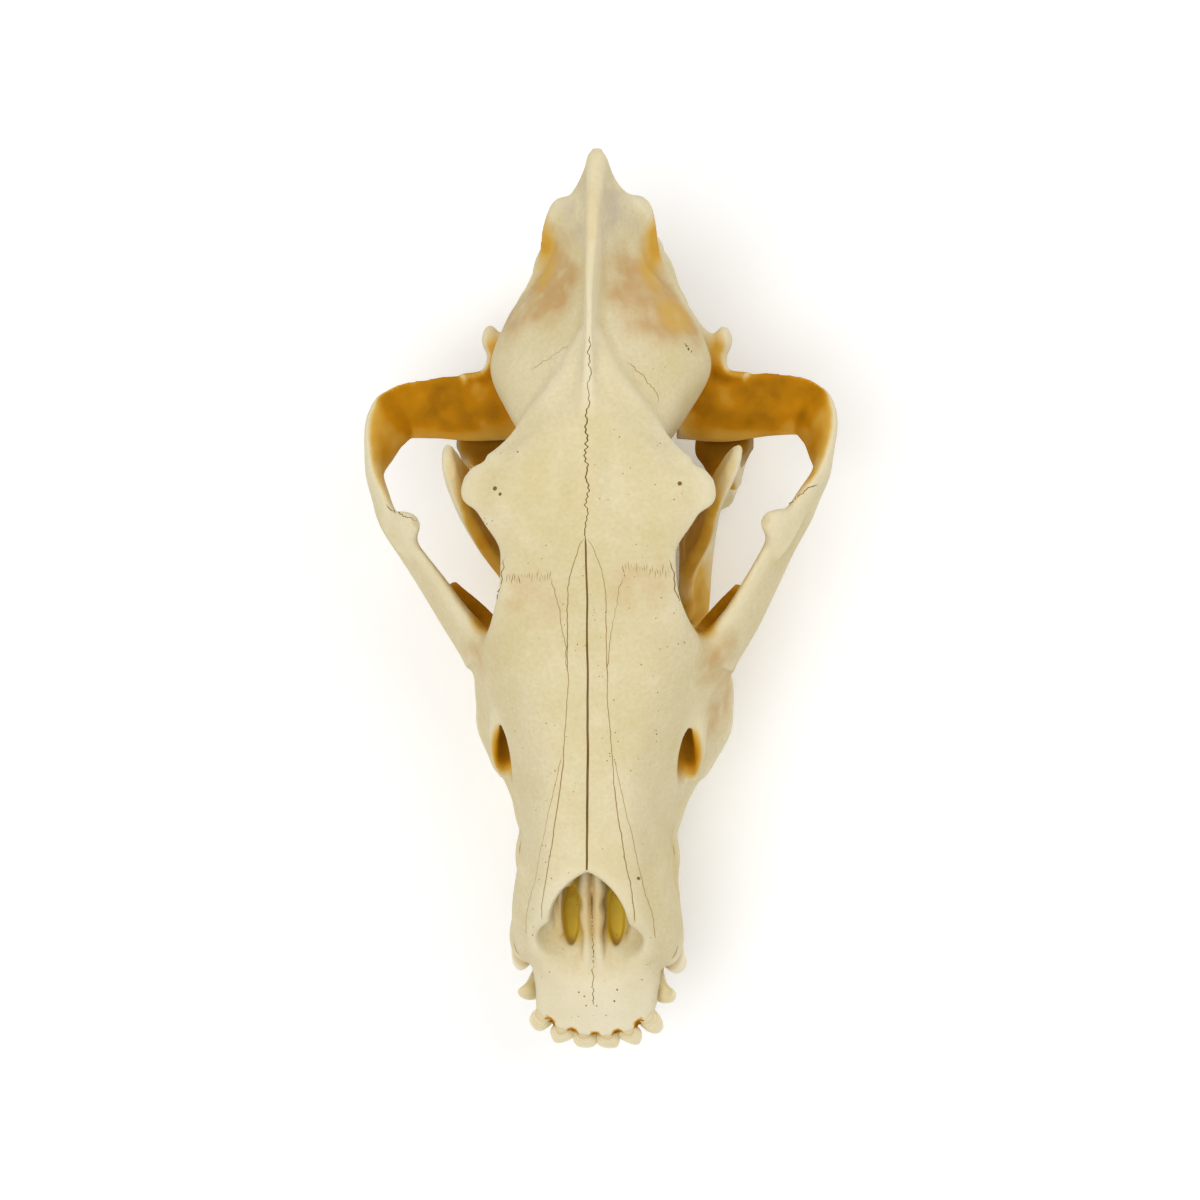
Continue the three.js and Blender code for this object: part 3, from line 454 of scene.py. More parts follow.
class Field:
    """A solid held as signed distances, negative inside, at the corners of cubic cells."""

    def __init__(self, low, high):
        self.first = np.floor(np.array(low) / CELL).astype(int)
        self.size = np.ceil(np.array(high) / CELL).astype(int) - self.first + 1
        self.d = np.full(self.size, BAND, np.float32)
        self.grid_map = vdb.createLinearTransform(voxelSize=CELL)

    def _measure(self, surface):
        """The window of cells near a surface, and the distances to it there."""
        points, quads, tris = surface
        low = np.maximum(np.floor((points.min(0) - BAND) / CELL).astype(int), self.first)
        high = np.minimum(np.ceil((points.max(0) + BAND) / CELL).astype(int), self.first + self.size)
        grid = vdb.FloatGrid.createLevelSetFromPolygons(
            points.astype(np.float32), triangles=tris.astype(np.uint32), quads=quads.astype(np.uint32),
            transform=self.grid_map, halfWidth=BAND / CELL)
        near = np.empty(high - low, np.float32)
        grid.copyToArray(near, ijk=tuple(int(v) for v in low))
        window = tuple(slice(a, b) for a, b in zip(low - self.first, high - self.first))
        return window, near

    def join(self, surface, soft):
        """Adds a solid, with a fillet about as wide as soft."""
        window, near = self._measure(surface)
        self.d[window] = soft_least(self.d[window], near, soft)

    def cut(self, surface, soft):
        """Takes a solid away, with an edge rounded by about soft."""
        window, near = self._measure(surface)
        self.d[window] = -soft_least(-self.d[window], near, soft)

    def corners(self):
        """Coordinates of the cell corners along each axis, shaped to spread over the field."""
        axes = [(self.first[k] + np.arange(self.size[k])) * CELL for k in range(3)]
        return np.ix_(*[a.astype(np.float32) for a in axes])

    def surface(self):
        """Points and outward quads of the zero level."""
        grid = vdb.FloatGrid(BAND)
        grid.transform = self.grid_map
        grid.gridClass = vdb.GridClass.LEVEL_SET
        grid.copyFromArray(self.d, ijk=tuple(int(v) for v in self.first))
        points, _, quads = grid.convertToPolygons(0.0, 0.0)
        return points.astype(float), quads[:, ::-1].astype(np.int64)

    def sample(self, values, points):
        """Values of an array over the field at points, blended from the eight corners around."""
        place = points / CELL - self.first
        i = np.clip(np.floor(place).astype(int), 0, np.array(values.shape) - 2)
        f = np.clip(place - i, 0, 1)
        total = np.zeros(len(points))
        for corner in np.ndindex(2, 2, 2):
            share = np.prod(np.where(corner, f, 1 - f), axis=1)
            total += share * values[tuple((i + corner).T)]
        return total

    def blurred(self, reach):
        """The distances averaged over a cube of the given half-width, twice."""
        n = max(1, int(round(reach / CELL)))
        out = self.d
        for axis in (0, 1, 2) * 2:
            border = [(n + 1, n) if k == axis else (0, 0) for k in range(3)]
            total = np.cumsum(np.pad(out, border, mode="edge"), axis=axis, dtype=np.float64)
            upper = np.take(total, range(2 * n + 1, total.shape[axis]), axis=axis)
            lower = np.take(total, range(0, total.shape[axis] - 2 * n - 1), axis=axis)
            out = ((upper - lower) / (2 * n + 1)).astype(np.float32)
        return out

    def heights(self):
        """Height of the highest surface over each column of corners, not a number over nothing."""
        k = self.size[2] - 1 - np.argmax(self.d[:, :, ::-1] < 0, axis=2)
        k = np.minimum(k, self.size[2] - 2)[..., None]
        inner = np.take_along_axis(self.d, k, 2)[..., 0]
        outer = np.take_along_axis(self.d, k + 1, 2)[..., 0]
        share = np.clip(inner / np.minimum(inner - outer, -TINY), 0, 1)
        return np.where(inner < 0, (self.first[2] + k[..., 0] + share) * CELL, np.nan)

    def roof(self, x, y, least=0.01):
        """Height of the highest surface above places in plan, blended from the columns around,
        not a number where the columns that hold something weigh less than least."""
        top = self.heights()
        u, v = np.asarray(x) / CELL - self.first[0], np.asarray(y) / CELL - self.first[1]
        i = np.clip(np.floor(u).astype(int), 0, self.size[0] - 2)
        j = np.clip(np.floor(v).astype(int), 0, self.size[1] - 2)
        f, g = u - i, v - j
        total, weight = np.zeros(len(i)), np.zeros(len(i))
        for a, b in np.ndindex(2, 2):
            z = top[i + a, j + b]
            share = np.where(a, f, 1 - f) * np.where(b, g, 1 - g) * np.isfinite(z)
            total += share * np.nan_to_num(z)
            weight += share
        return np.where(weight > least, total / np.maximum(weight, least), np.nan)


def soft_least(a, b, soft):
    """The lesser of two distances, blended where they are closer than soft."""
    if soft <= 0:
        return np.minimum(a, b)
    h = np.clip(0.5 + 0.5 * (b - a) / soft, 0, 1)
    return b + (a - b) * h - soft * h * (1 - h)


def cranium_field():
    """The upper skull: the vault, the bones of each side, then the openings."""
    f = Field(*CRANIUM_ROOM)
    f.join(vault(), 0)
    f.join(crest_blade(), 3)
    for side in SIDES:
        for knots, soft in CRANIUM_SWEEPS:
            f.join(sweep(knots, side), soft)
        line = np.array(TEMPORAL_LINE, float)
        line[:, 2] = f.roof(line[:, 0] * side, line[:, 1]) - LINE_SUNK
        f.join(sweep(line, side), 5)
        for shape, soft in CRANIUM_EGGS:
            f.join(egg(shape, side), soft)
        f.cut(egg(SHELF_HOLLOW, side), 3)
        f.cut(sweep(NUCHAL_HOLLOW, side), 2)
        socket_rims(f, UPPER_TEETH, side, 1)
    for shape, soft in ((BROW_HOLLOW, 5), (NOSE_BOWL, 5), (NOSE_HOLLOW, 2)):
        f.cut(egg(shape), soft)
    f.cut(nose_mouth(), 0.9)
    f.cut(sweep(NOSE_TUNNEL), 1)
    f.join(sweep(NOSE_SCROLL), 1)
    for side in SIDES:
        f.join(sweep(VOMER_BAR, side), 1)
        f.cut(sweep(PALATE_SLOT, side), 0.8)
        f.cut(sweep(CHEEK_CANAL, side), 1)
        f.cut(egg(EAR_HOLE, side), 1)
        f.cut(sweep(JAW_CONDYLE, side, grow=JOINT_GAP), JOINT_GAP)
        f.cut(tooth(LOWER_TEETH[LOWER_CANINE], side, 1, CANINE_ROOM), 0.5)
        for pit in GUM_PITS:
            f.cut(egg(pit, side), 0.4)
    f.cut(egg(BRAIN_HOLE), 1.5)
    f.cut(egg(THROAT), 2)
    return f


def socket_rims(f, teeth, side, rootward, sunk=2.4, across=0.7, along=0.3, tall=3.4, soft=2.4):
    """A low swelling of the jaw round the foot of each tooth behind the incisors. Rootward is 1
    where the roots point up and -1 where they point down."""
    for kind, x, y, z, length, width, *_ in teeth:
        if kind != "incisor":
            rim = (x, y, z + rootward * sunk, width / 2 + across, length / 2 + along, tall)
            f.join(egg(rim, side), soft)


def jaw_field():
    """The left half of the lower jaw, flat at the chin's middle and on the table."""
    f = Field(*JAW_ROOM)
    for knots, soft in JAW_SWEEPS:
        f.join(sweep(knots), soft)
    f.join(egg(CONDYLE_NECK), 2.5)
    f.join(sweep(JAW_ANGLE), 4)
    socket_rims(f, LOWER_TEETH, 1, -1)
    f.cut(egg(CHEWING_HOLLOW), 4)
    for hole in CHIN_HOLES:
        f.cut(egg(hole), 0.5)
    x, y, z = f.corners()
    table = -(z * math.cos(REST_PITCH) - y * math.sin(REST_PITCH) + REST_LIFT)
    f.d = np.maximum(f.d, np.maximum(SYMPHYSIS_HALF_GAP - x, table)).astype(np.float32)
    return f


# Pieces


def at_rest(points):
    """Skull frame in millimetres to the row frame in metres."""
    x, y, z = points.T
    c, s = math.cos(REST_PITCH), math.sin(REST_PITCH)
    return np.stack([x, y * c + z * s + REST_SHIFT, z * c - y * s + REST_LIFT], 1) * MM


# Places where this skull is not quite even: middle, reach, shift in plan
BENDS = [
    ((0, 122, 74), 22, (0.5, 0)), ((12, 107, 62), 9, (2.2, -0.4)), ((-12, 107, 62), 8, (-0.4, -1.2)),
    ((58, 58, 26), 20, (0, 2.2)), ((-60, 56, 26), 18, (0.6, -0.8)), ((0, -134, 0), 24, (0.9, 0)),
    ((34, 74, 27), 12, (1.4, 0)), ((-34, 74, 27), 12, (1.2, 0)), ((60, 20, 30), 20, (-1.7, 1)),
    ((-60, 20, 30), 20, (-1.7, -1.6)), ((-38, -36, 8), 20, (2.2, 0)), ((-23, -98, 6), 14, (1, 0)),
    ((22, -119, 6), 6, (2, 0)), ((34, 14, 16), 14, (-3.6, 0)), ((31, 26, -4), 16, (-5, 0)),
    ((40, 28, 40), 13, (-3.8, 1.2)), ((-36, 22, 20), 20, (-1.4, 0)),
]


def natural(points, length=22, size=0.2, seeds=(14, 15, 16)):
    """Small slow bends that keep the two sides from being exact mirror images."""
    shift = np.stack([waves(points, length, seed) for seed in seeds], 1) * size
    for middle, reach, move in BENDS:
        near = np.exp(-(((points - middle) / reach) ** 2).sum(1))
        shift[:, :2] += near[:, None] * np.array(move)
    return points + shift


def put(name, data):
    """A new object in the scene."""
    obj = bpy.data.objects.new(name, data)
    bpy.context.scene.collection.objects.link(obj)
    return obj


def make_object(name, points, faces, attributes=None):
    """A mesh object from point and face arrays, smooth shaded, with point attributes."""
    mesh = bpy.data.meshes.new(name)
    mesh.vertices.add(len(points))
    mesh.vertices.foreach_set("co", points.astype(np.float32).ravel())
    sizes = np.concatenate([np.full(len(f), f.shape[1]) for f in faces])
    mesh.loops.add(int(sizes.sum()))
    mesh.loops.foreach_set("vertex_index", np.concatenate([f.ravel() for f in faces]).astype(np.int32))
    mesh.polygons.add(len(sizes))
    mesh.polygons.foreach_set("loop_start", np.concatenate([[0], np.cumsum(sizes)[:-1]]).astype(np.int32))
    mesh.update(calc_edges=True)
    mesh.validate()
    mesh.shade_smooth()
    for key, values in (attributes or {}).items():
        layer = mesh.attributes.new(key, "FLOAT", "POINT")
        layer.data.foreach_set("value", np.asarray(values, np.float32))
    return put(name, mesh)


def triples(items, key, kind):
    """One property of all items, three numbers each."""
    out = np.empty(3 * len(items), kind)
    items.foreach_get(key, out)
    return out.reshape(-1, 3)


def thinned(points, quads, most):
    """The same surface with its flat places in larger triangles: points, triangles and normals."""
    obj = make_object("draft", points, [quads])
    obj.modifiers.new("thin", "DECIMATE").ratio = min(1.0, most / (2 * len(quads)))
    mesh = obj.evaluated_get(bpy.context.evaluated_depsgraph_get()).to_mesh()
    mesh.calc_loop_triangles()
    tris = triples(mesh.loop_triangles, "vertices", np.int32)
    points, normals = (triples(mesh.vertices, key, np.float32).astype(float) for key in ("co", "normal"))
    draft = obj.data
    bpy.data.objects.remove(obj)
    bpy.data.meshes.remove(draft)
    return points, tris, normals


def patches(points, spots):
    """How strongly egg-shaped patches cover points: fully within half the radii, not at all past
    one and a half. Each spot: middle, radii, strength."""
    cover = np.zeros(len(points))
    for *shape, strength in spots:
        r = np.linalg.norm((points - shape[:3]) / shape[3:], axis=1)
        cover = np.maximum(cover, strength * np.clip(1.5 - r, 0, 1))
    return cover


def both_sides(spots):
    """Spots of the left side with their mirror images."""
    return spots + mirrored(spots)


# Patches of colour, each with its middle (3), radii (3) and strength. Stained ochre by soft tissue:
GUM_SPOTS = [(x, y, z, 1.4, 2, 2.6, 2.4) for x, y, z, *_ in GUM_PITS]
STAINS = both_sides(GUM_SPOTS + [
    (50, 56, 25, 24, 12, 12, 1), (33, 58, 27, 9, 13, 9, 1), (62, 47, 27, 10, 13, 12, 0.62),
    (34, 71, 27, 5, 6, 7, 0.5), (16.6, 97, 54, 4.4, 11, 8, 0.4), (38, -6, 20, 9, 10, 5, 1.1),
    (39, 46, 8, 16, 10, 10, 1), (34, 22, 24, 12, 24, 30, 0.55), (30, 8, -8, 12, 26, 20, 0.5),
    (38.5, -33, 14, 4, 11, 9, 0.3), (28, -48, 20, 3.4, 7.4, 7, 1.1), (31, -9, 33, 5, 6, 8, 0.8),
    (68, 34, 30, 8, 20, 14, 0.34),
]) + [(23, 78, 52, 7, 6, 8, 0.28), (0, 104, 80, 3.5, 18, 6, 0.12)]
# Tinted rose
ROSE = [
    (17, 84, 60, 13, 14, 16, 1.2), (-15, 87, 60, 10, 13, 15, 1.2), (-24, 76, 50, 8, 9, 10, 0.7),
    (34, -20, 32, 9, 9, 10, 0.7), (-34, -20, 32, 8, 8, 8, 0.5), (38, -33, 16, 6, 12, 9, 0.7),
    (16, -4, 65, 12, 9, 7, 0.4), (-16, -8, 63, 10, 9, 7, 0.4), (24, 76, 50, 9, 8, 9, 1),
]
# Painted shade, brown, in deep hollows and shadowed gaps; then cleaned of stain, bleached, and weathered grey
SHADE = both_sides([(38, 46, 9, 12, 8, 8, 1.2), (46, 41, 12, 5, 5, 7, 1), (28, -47, 19, 3, 7, 6, 0.85)])
CLEANED = both_sides([(46, 45, 26, 14, 3.2, 6, 0.6)])
PALE = [(0, -122, 8, 20, 16, 12, 0.9)]
GREY = [(6, 106, 70, 8, 12, 10, 0.9), (-6, 104, 70, 6, 12, 10, 0.7), (-24, 80, 48, 8, 9, 9, 0.5)]

# How far points lie in hollows sets the painted shade there and the painted light on bulges.
HOLLOWS = [(2.4, 1.3), (5.0, 2.2)]  # shallow and deep ones: reach of the averaging, full depth
MOST_COLOUR = 1.2  # where the blotches are strongest
BLOTCHES = [(9, 21, 0.5), (3.5, 22, 0.25)]  # waves that break up the patches: length, seed, weight
# Stains keep to inner faces: distances from the middle where that begins and is full, share on a
# level face, gain on a face turned inwards, least share
INNER_FACES = [(52, 64, 0.45, 1.1, 0), (30, 36, 1.25, 1.6, 0.12)]
# The nose, stained inside, and the slots beside its bars, whose floors are painted olive as shadowed depth:
# where each bound begins and is full
NOSE_ROOM = dict(back=(-56, -60), front=(-108, -102), sides=(13, 10), floor=(7.4, 8), roof=(28, 24))
NOSE_STAIN = 0.17
SLOT = dict(top=(15, 13), bar_side=(3.2, 4.4), bar_foot=(11, 9))
SLOT_LIGHT = 0.9  # share of a hollow's shade that the olive floors lose


def between(value, none, full):
    """A share that goes from 0 at one value to 1 at another."""
    return np.clip((value - none) / (full - none), 0, 1)


def tints(points, normals, cavity_shading, deep_shade):
    """Shares of each colour at points, from the patches, blotches, faces and hollows, with painted light and
    shade.
    """
    out, y, z = np.abs(points[:, 0]), points[:, 1], points[:, 2]
    patch = 0.5 + sum(weight * waves(points, length, seed) for length, seed, weight in BLOTCHES)
    stain = patches(points, STAINS) * (1 - patches(points, CLEANED))
    stain *= np.minimum(0.75 + 0.4 * patch, MOST_COLOUR)
    inward = -normals[:, 0] * np.sign(points[:, 0])
    for near, far, level, gain, least in INNER_FACES:
        stain *= 1 - between(out, near, far) * (1 - np.clip(level + gain * inward, least, 1))
    in_nose = between(y, *NOSE_ROOM["back"]) * between(y, *NOSE_ROOM["front"])
    in_nose *= between(out, *NOSE_ROOM["sides"]) * between(z, *NOSE_ROOM["floor"])
    off_bars = np.maximum(between(out, *SLOT["bar_side"]), between(z, *SLOT["bar_foot"]))
    # Olive painted shadow on the slot floors, standing in for the dark depths seen through them.
    olive_shadow = in_nose * off_bars * between(z, *SLOT["top"])
    shade = 1 - SLOT_LIGHT * olive_shadow
    shares = dict(
        stain=np.maximum(stain, NOSE_STAIN * in_nose * between(z, *NOSE_ROOM["roof"])),
        olive_shadow=olive_shadow,
        pale=patches(points, PALE) * (1 - np.clip(cavity_shading * shade, 0, 1)),
        rose=patches(points, ROSE) * np.clip(0.3 + patch, 0, MOST_COLOUR),
        grey=patches(points, GREY) * np.clip(0.2 + patch, 0, MOST_COLOUR),
    )
    shares = {key: np.clip(share, 0, 1) for key, share in shares.items()}
    # The last two are painted: shade in hollows with light on bulges, and darker shade in deep hollows and
    # shadowed gaps.
    return dict(shares, cavity_shading=cavity_shading * shade, deep_shade=np.maximum(deep_shade, patches(points, SHADE)) * shade)


def bone_piece(name, field, side=1):
    """The field's surface as an object, mirrored for side -1, with its tints and painted shade as attributes.
    """
    points, quads = field.surface()
    points, tris, normals = thinned(points, quads, MOST_TRIANGLES)
    # Averaged distances find hollows and bulges for the painted light and shade.
    hollows = [np.clip(-field.sample(field.blurred(reach), points) / full, -1, 1) for reach, full in HOLLOWS]
    if side < 0:
        points, normals, tris = points * (-1, 1, 1), normals * (-1, 1, 1), tris[:, ::-1]
    return make_object(name, at_rest(natural(points)), [tris], tints(points, normals, *hollows))


def merged(surfaces):
    """Several closed surfaces as one set of points, quads and triangles."""
    start, points, quads, tris = 0, [], [], []
    for p, q, t in surfaces:
        points.append(p)
        quads.append(q + start)
        tris.append(t + start)
        start += len(p)
    return np.concatenate(points), np.concatenate(quads), np.concatenate(tris)


def teeth_piece(name, teeth, up):
    """All teeth of one jaw, with an attribute that is about 0 at the neck and 1 at the tip."""
    surfaces, crown = [], []
    for side in SIDES:
        for row in teeth:
            kind, _, _, foot, _, _, height, *_ = row
            surface = tooth(row, side, up)
            surfaces.append(surface)
            rise = (surface[0][:, 2] - foot) * up / height
            crown.append(np.clip(rise + WHITE_NECK.get(kind, 0), -1, 1))
    points, quads, tris = merged(surfaces)
    if up < 0:  # rings stacked downwards face inwards
        quads, tris = quads[:, ::-1], tris[:, ::-1]
    return make_object(name, at_rest(natural(points)), [quads, tris], dict(crown=np.concatenate(crown)))


MARK_LIFT = 0.06  # marks lie this far above the bone
WAVER_SEED, FINE_SEED, WIDTH_SEED = 31, 32, 33


def ribbons(field, lines, samples=200, step=0.25, jump=1.2, taper=1.5, tip=0.1, apart=7.7, fine=0.6):
    """Narrow strips lying on the roof of a field along lines in plan. Each line: its points in
    plan, width, sideways waver, length of a waver, darkness. A strip tapers to its tips and is
    broken where its height jumps. Lines lie apart in the noise that sways them."""
    points, quads, shade, start = [], [], [], 0
    for number, (path, width, waver, length, dark) in enumerate(lines):
        rough = smooth(path, samples)
        run = np.concatenate([[0], np.cumsum(np.linalg.norm(np.diff(rough, axis=0), axis=1))])
        s = np.arange(0, run[-1], step)
        mid = np.stack([np.interp(s, run, rough[:, k]) for k in range(2)], 1)
        along = unit(np.gradient(mid, axis=0))
        across = np.stack([-along[:, 1], along[:, 0]], 1)
        at = np.stack([s, np.full_like(s, apart * number), 0 * s], 1)
        sway = waves(at, length, WAVER_SEED) + fine * waves(at, length / 3, FINE_SEED)
        mid = mid + across * (waver * sway)[:, None]
        half = 0.5 * width * (0.8 + 0.5 * waves(at, 4 * length, WIDTH_SEED))
        half = half * np.clip(np.minimum(s, run[-1] - s) / taper, tip, 1)
        flat = np.stack([mid - across * half[:, None], mid + across * half[:, None]], 1).reshape(-1, 2)
        points.append(np.column_stack([flat, field.roof(flat[:, 0], flat[:, 1]) + MARK_LIFT]))
        i = start + 2 * np.arange(len(s) - 1)
        quads.append(np.stack([i, i + 2, i + 3, i + 1], 1))
        shade.append(np.full(2 * len(s), dark))
        start += 2 * len(s)
    points, quads, shade = np.concatenate(points), np.concatenate(quads), np.concatenate(shade)
    quads = quads[np.ptp(points[quads, 2], axis=1) < jump]
    used, quads = np.unique(quads, return_inverse=True)
    return points[used], quads.reshape(-1, 4), shade[used]


# Seams of the roof in plan, left side
NOSE_SEAM = [(0.4, 8.5), (2.5, 5), (5.4, -7), (5.8, -33), (6.8, -48), (8, -61.5), (10.4, -77), (13.1, -92),
             (13.8, -99.5)]
BROW_SEAM = [(10.4, -2), (8.4, -9), (6.8, -19), (6, -28)]
SNOUT_SEAM = [(7.6, -52), (10.6, -64.5), (13.1, -75), (16.1, -88.5), (18.6, -97), (19.4, -104)]
ORBIT_SEAM = [(23.6, 3.5), (25.6, -5), (28.2, -9), (31.6, -11.6)]
# All seams and cracks: points, width, sideways waver, length of a waver, darkness
PAIRED_SEAMS = [(NOSE_SEAM, 0.26, 0.2, 8, 0.2), (BROW_SEAM, 0.26, 0.4, 8, 0.2),
                (SNOUT_SEAM, 0.2, 0.2, 8, 0), (ORBIT_SEAM, 0.34, 0.7, 8, 0.4)]
SEAMS = [(side(path), *look) for side in (list, mirrored) for path, *look in PAIRED_SEAMS] + [
    ([(0.2, 66), (0.4, 52), (-0.3, 38), (0.3, 22), (0, 8)], 0.42, 0.8, 4.5, 0.8),
    # The nasal slit and the crack in front of it are drawn, not cut: dark joints with painted shadow.
    ([(0, 9), (0.1, -20), (0, -60), (0, -86)], 0.62, 0.1, 20, 0.75),
    ([(0.2, -90), (0.1, -106), (0, -116), (0.1, -124)], 0.32, 0.4, 2.4, 0.8),
    ([(-62, 24.3), (-56, 20.4), (-51.5, 18.2)], 0.3, 0.6, 3, 0.6),
    ([(66.5, 30.5), (61.5, 26), (57.5, 23), (52.5, 22)], 0.3, 0.6, 3, 0.6),
    ([(-18, 59), (-11, 62.5), (-6, 65)], 0.16, 0.5, 4, 0.3),
    ([(10.5, 61), (17.5, 54), (20, 49)], 0.16, 0.5, 4, 0.3),
    ([(26, 69.5), (27.4, 68.2), (28.4, 66.4)], 0.5, 1.2, 1.5, 0.9),
]
COMB_STROKE = (0.22, 0.15, 2, 0.4)  # width, sideways waver, length of a waver, darkness
COMB_PLACES = ((-1, -2.2), (1, 0.6))  # side, place along Y
COMB_SEED = 41
PORE_SEED, CLUMP_SEED = 43, 44
# Larger holes, drawn as dark discs of painted shadow: place in plan, radius
HOLES = [(-26.3, 22.5, 0.65), (-24.7, 20.8, 0.5), (26.6, 24.7, 0.65), (14.8, -86.5, 0.5), (-20, 33, 0.3),
         (-4.2, -120, 0.26), (-2.6, -121.2, 0.26), (7.4, -119, 0.28), (6.4, -122.4, 0.3), (-2.2, -124, 0.24),
         (1, -124, 0.22)]


def comb_strokes(near=10.5, far=23.5, step=0.75, stroke=2.6, scatter=0.9, lean=0.3, bend=0.004, bend_from=12):
    """Short strokes across the seam between brow and cheek bones, uneven like the teeth of a comb,
    in a row that bends forwards."""
    rng = np.random.default_rng(COMB_SEED)
    strokes = []
    for side, place in COMB_PLACES:
        for x in np.arange(near, far, step):
            y = place + rng.uniform(-scatter, scatter) - bend * (x - bend_from) ** 2
            half = stroke * rng.uniform(0.2, 0.6)
            drift = rng.uniform(-lean, lean)
            ends = [((x - drift) * side, y - half), ((x + drift) * side, y + half)]
            strokes.append((ends, *COMB_STROKE))
    return strokes


def dots(field, places, sides=8, steepest=4):
    """Small flat discs lying on the roof of a field where it isn't steep. Each place: x, y, radius."""
    x, y, r = np.array(places, float).T
    a = circle(sides)
    px, py = x[:, None] + r[:, None] * np.cos(a), y[:, None] + r[:, None] * np.sin(a)
    pz = field.roof(px.ravel(), py.ravel()).reshape(px.shape) + MARK_LIFT
    flat = np.ptp(pz, axis=1) < steepest * r
    points = np.stack([px, py, pz], -1)[flat].reshape(-1, 3)
    return points, np.arange(len(points)).reshape(-1, sides)


def marks_piece(field, count=260, low=(-30, -128), high=(30, 40), radius=(0.08, 0.2), clump=26, shade=0.5):
    """All seams, cracks and pores as one thin piece: dark joints, dust and painted shadow."""
    rng = np.random.default_rng(PORE_SEED)
    places = rng.uniform(low, high, (count, 2))
    radii = rng.uniform(*radius, count)
    clumped = waves(np.column_stack([places, 0 * radii]), clump, CLUMP_SEED) > 0
    pores = np.column_stack([places, radii])[clumped]
    points, quads, dark = ribbons(field, SEAMS + comb_strokes())
    spots, discs = dots(field, np.concatenate([pores, HOLES]))
    discs = discs + len(points)
    dark = np.concatenate([dark, np.full(len(spots), shade)])
    points = at_rest(natural(np.concatenate([points, spots])))
    return make_object("marks", points, [quads, discs], dict(dark=dark))


cranium = cranium_field()
jaw = jaw_field()
skull = bone_piece("cranium", cranium)
jaw_left = bone_piece("jaw_left", jaw)
jaw_right = bone_piece("jaw_right", jaw, -1)
upper_teeth = teeth_piece("upper_teeth", UPPER_TEETH, -1)
lower_teeth = teeth_piece("lower_teeth", LOWER_TEETH, 1)
marks = marks_piece(cranium)

for piece, slot_name in ((skull, "bone"), (marks, "bone"), (jaw_left, "jaw_bone"), (jaw_right, "jaw_bone"),
                         (upper_teeth, "face_bone"), (lower_teeth, "jaw_bone")):
    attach(piece, "root")
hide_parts("muzzle", "braincase", "cheek_arch_left", "cheek_arch_right")
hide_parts("lower_jaw_left")
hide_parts("lower_jaw_right")


# Materials


def colour(code):
    """An sRGB hex colour as linear red, green, blue and alpha."""
    parts = [int(code[k:k + 2], 16) / 255 for k in (1, 3, 5)]
    return tuple(c / 12.92 if c <= 0.04045 else ((c + 0.055) / 1.055) ** 2.4 for c in parts) + (1.0,)


def fill(tree, node, values):
    """Sets each named input of a node to a value, or links it to a socket."""
    for key, value in values.items():
        if isinstance(value, bpy.types.NodeSocket):
            tree.links.new(value, node.inputs[key])
        else:
            node.inputs[key].default_value = value


def add(tree, kind, values=None, **settings):
    """A node with its settings and inputs."""
    made = tree.nodes.new(kind)
    for key, value in settings.items():
        setattr(made, key, value)
    fill(tree, made, values or {})
    return made


def mix(tree, share, base, code):
    """A colour with a share of another, given in hex, over it."""
    return add(tree, "ShaderNodeMix", {0: share, 6: base, 7: colour(code)}, data_type="RGBA").outputs[2]


def ramp(tree, value, low, high, to_low=0.0, to_high=1.0):
    """A value from low to high as one from to_low to to_high."""
    made = add(tree, "ShaderNodeMapRange", {0: value, 1: low, 2: high, 3: to_low, 4: to_high})
    return made.outputs[0]


def times(tree, a, b):
    return add(tree, "ShaderNodeMath", {0: a, 1: b}, operation="MULTIPLY").outputs[0]


def attribute(tree, name):
    return add(tree, "ShaderNodeAttribute", attribute_name=name).outputs["Fac"]


def noise(tree, where, wavelength, detail=3.0, rough=0.55):
    """Cloudy noise about one wavelength wide."""
    links = {"Vector": where, "Scale": 1 / wavelength, "Detail": detail, "Roughness": rough}
    return add(tree, "ShaderNodeTexNoise", links).outputs["Fac"]


def new_material(name):
    """A material, its node tree, its shader and its Object coordinates."""
    material = bpy.data.materials.new(name)
    material.use_nodes = True
    tree = material.node_tree
    tree.nodes.clear()
    shader = add(tree, "ShaderNodeBsdfPrincipled")
    add(tree, "ShaderNodeOutputMaterial", {"Surface": shader.outputs[0]})
    where = add(tree, "ShaderNodeTexCoord").outputs["Object"]
    return material, tree, shader, where


# Sizes of the patterns, in metres
MOTTLE, SPECKLE, GRAIN = 0.030, 0.006, 0.0012
PORE_SPACING, PORE_CLUMP = 0.0034, 0.02
GRAIN_RELIEF, SPECKLE_RELIEF = 0.0002, 0.0006
ENAMEL_STREAK = 0.004
DUST_CLOUD = 0.008


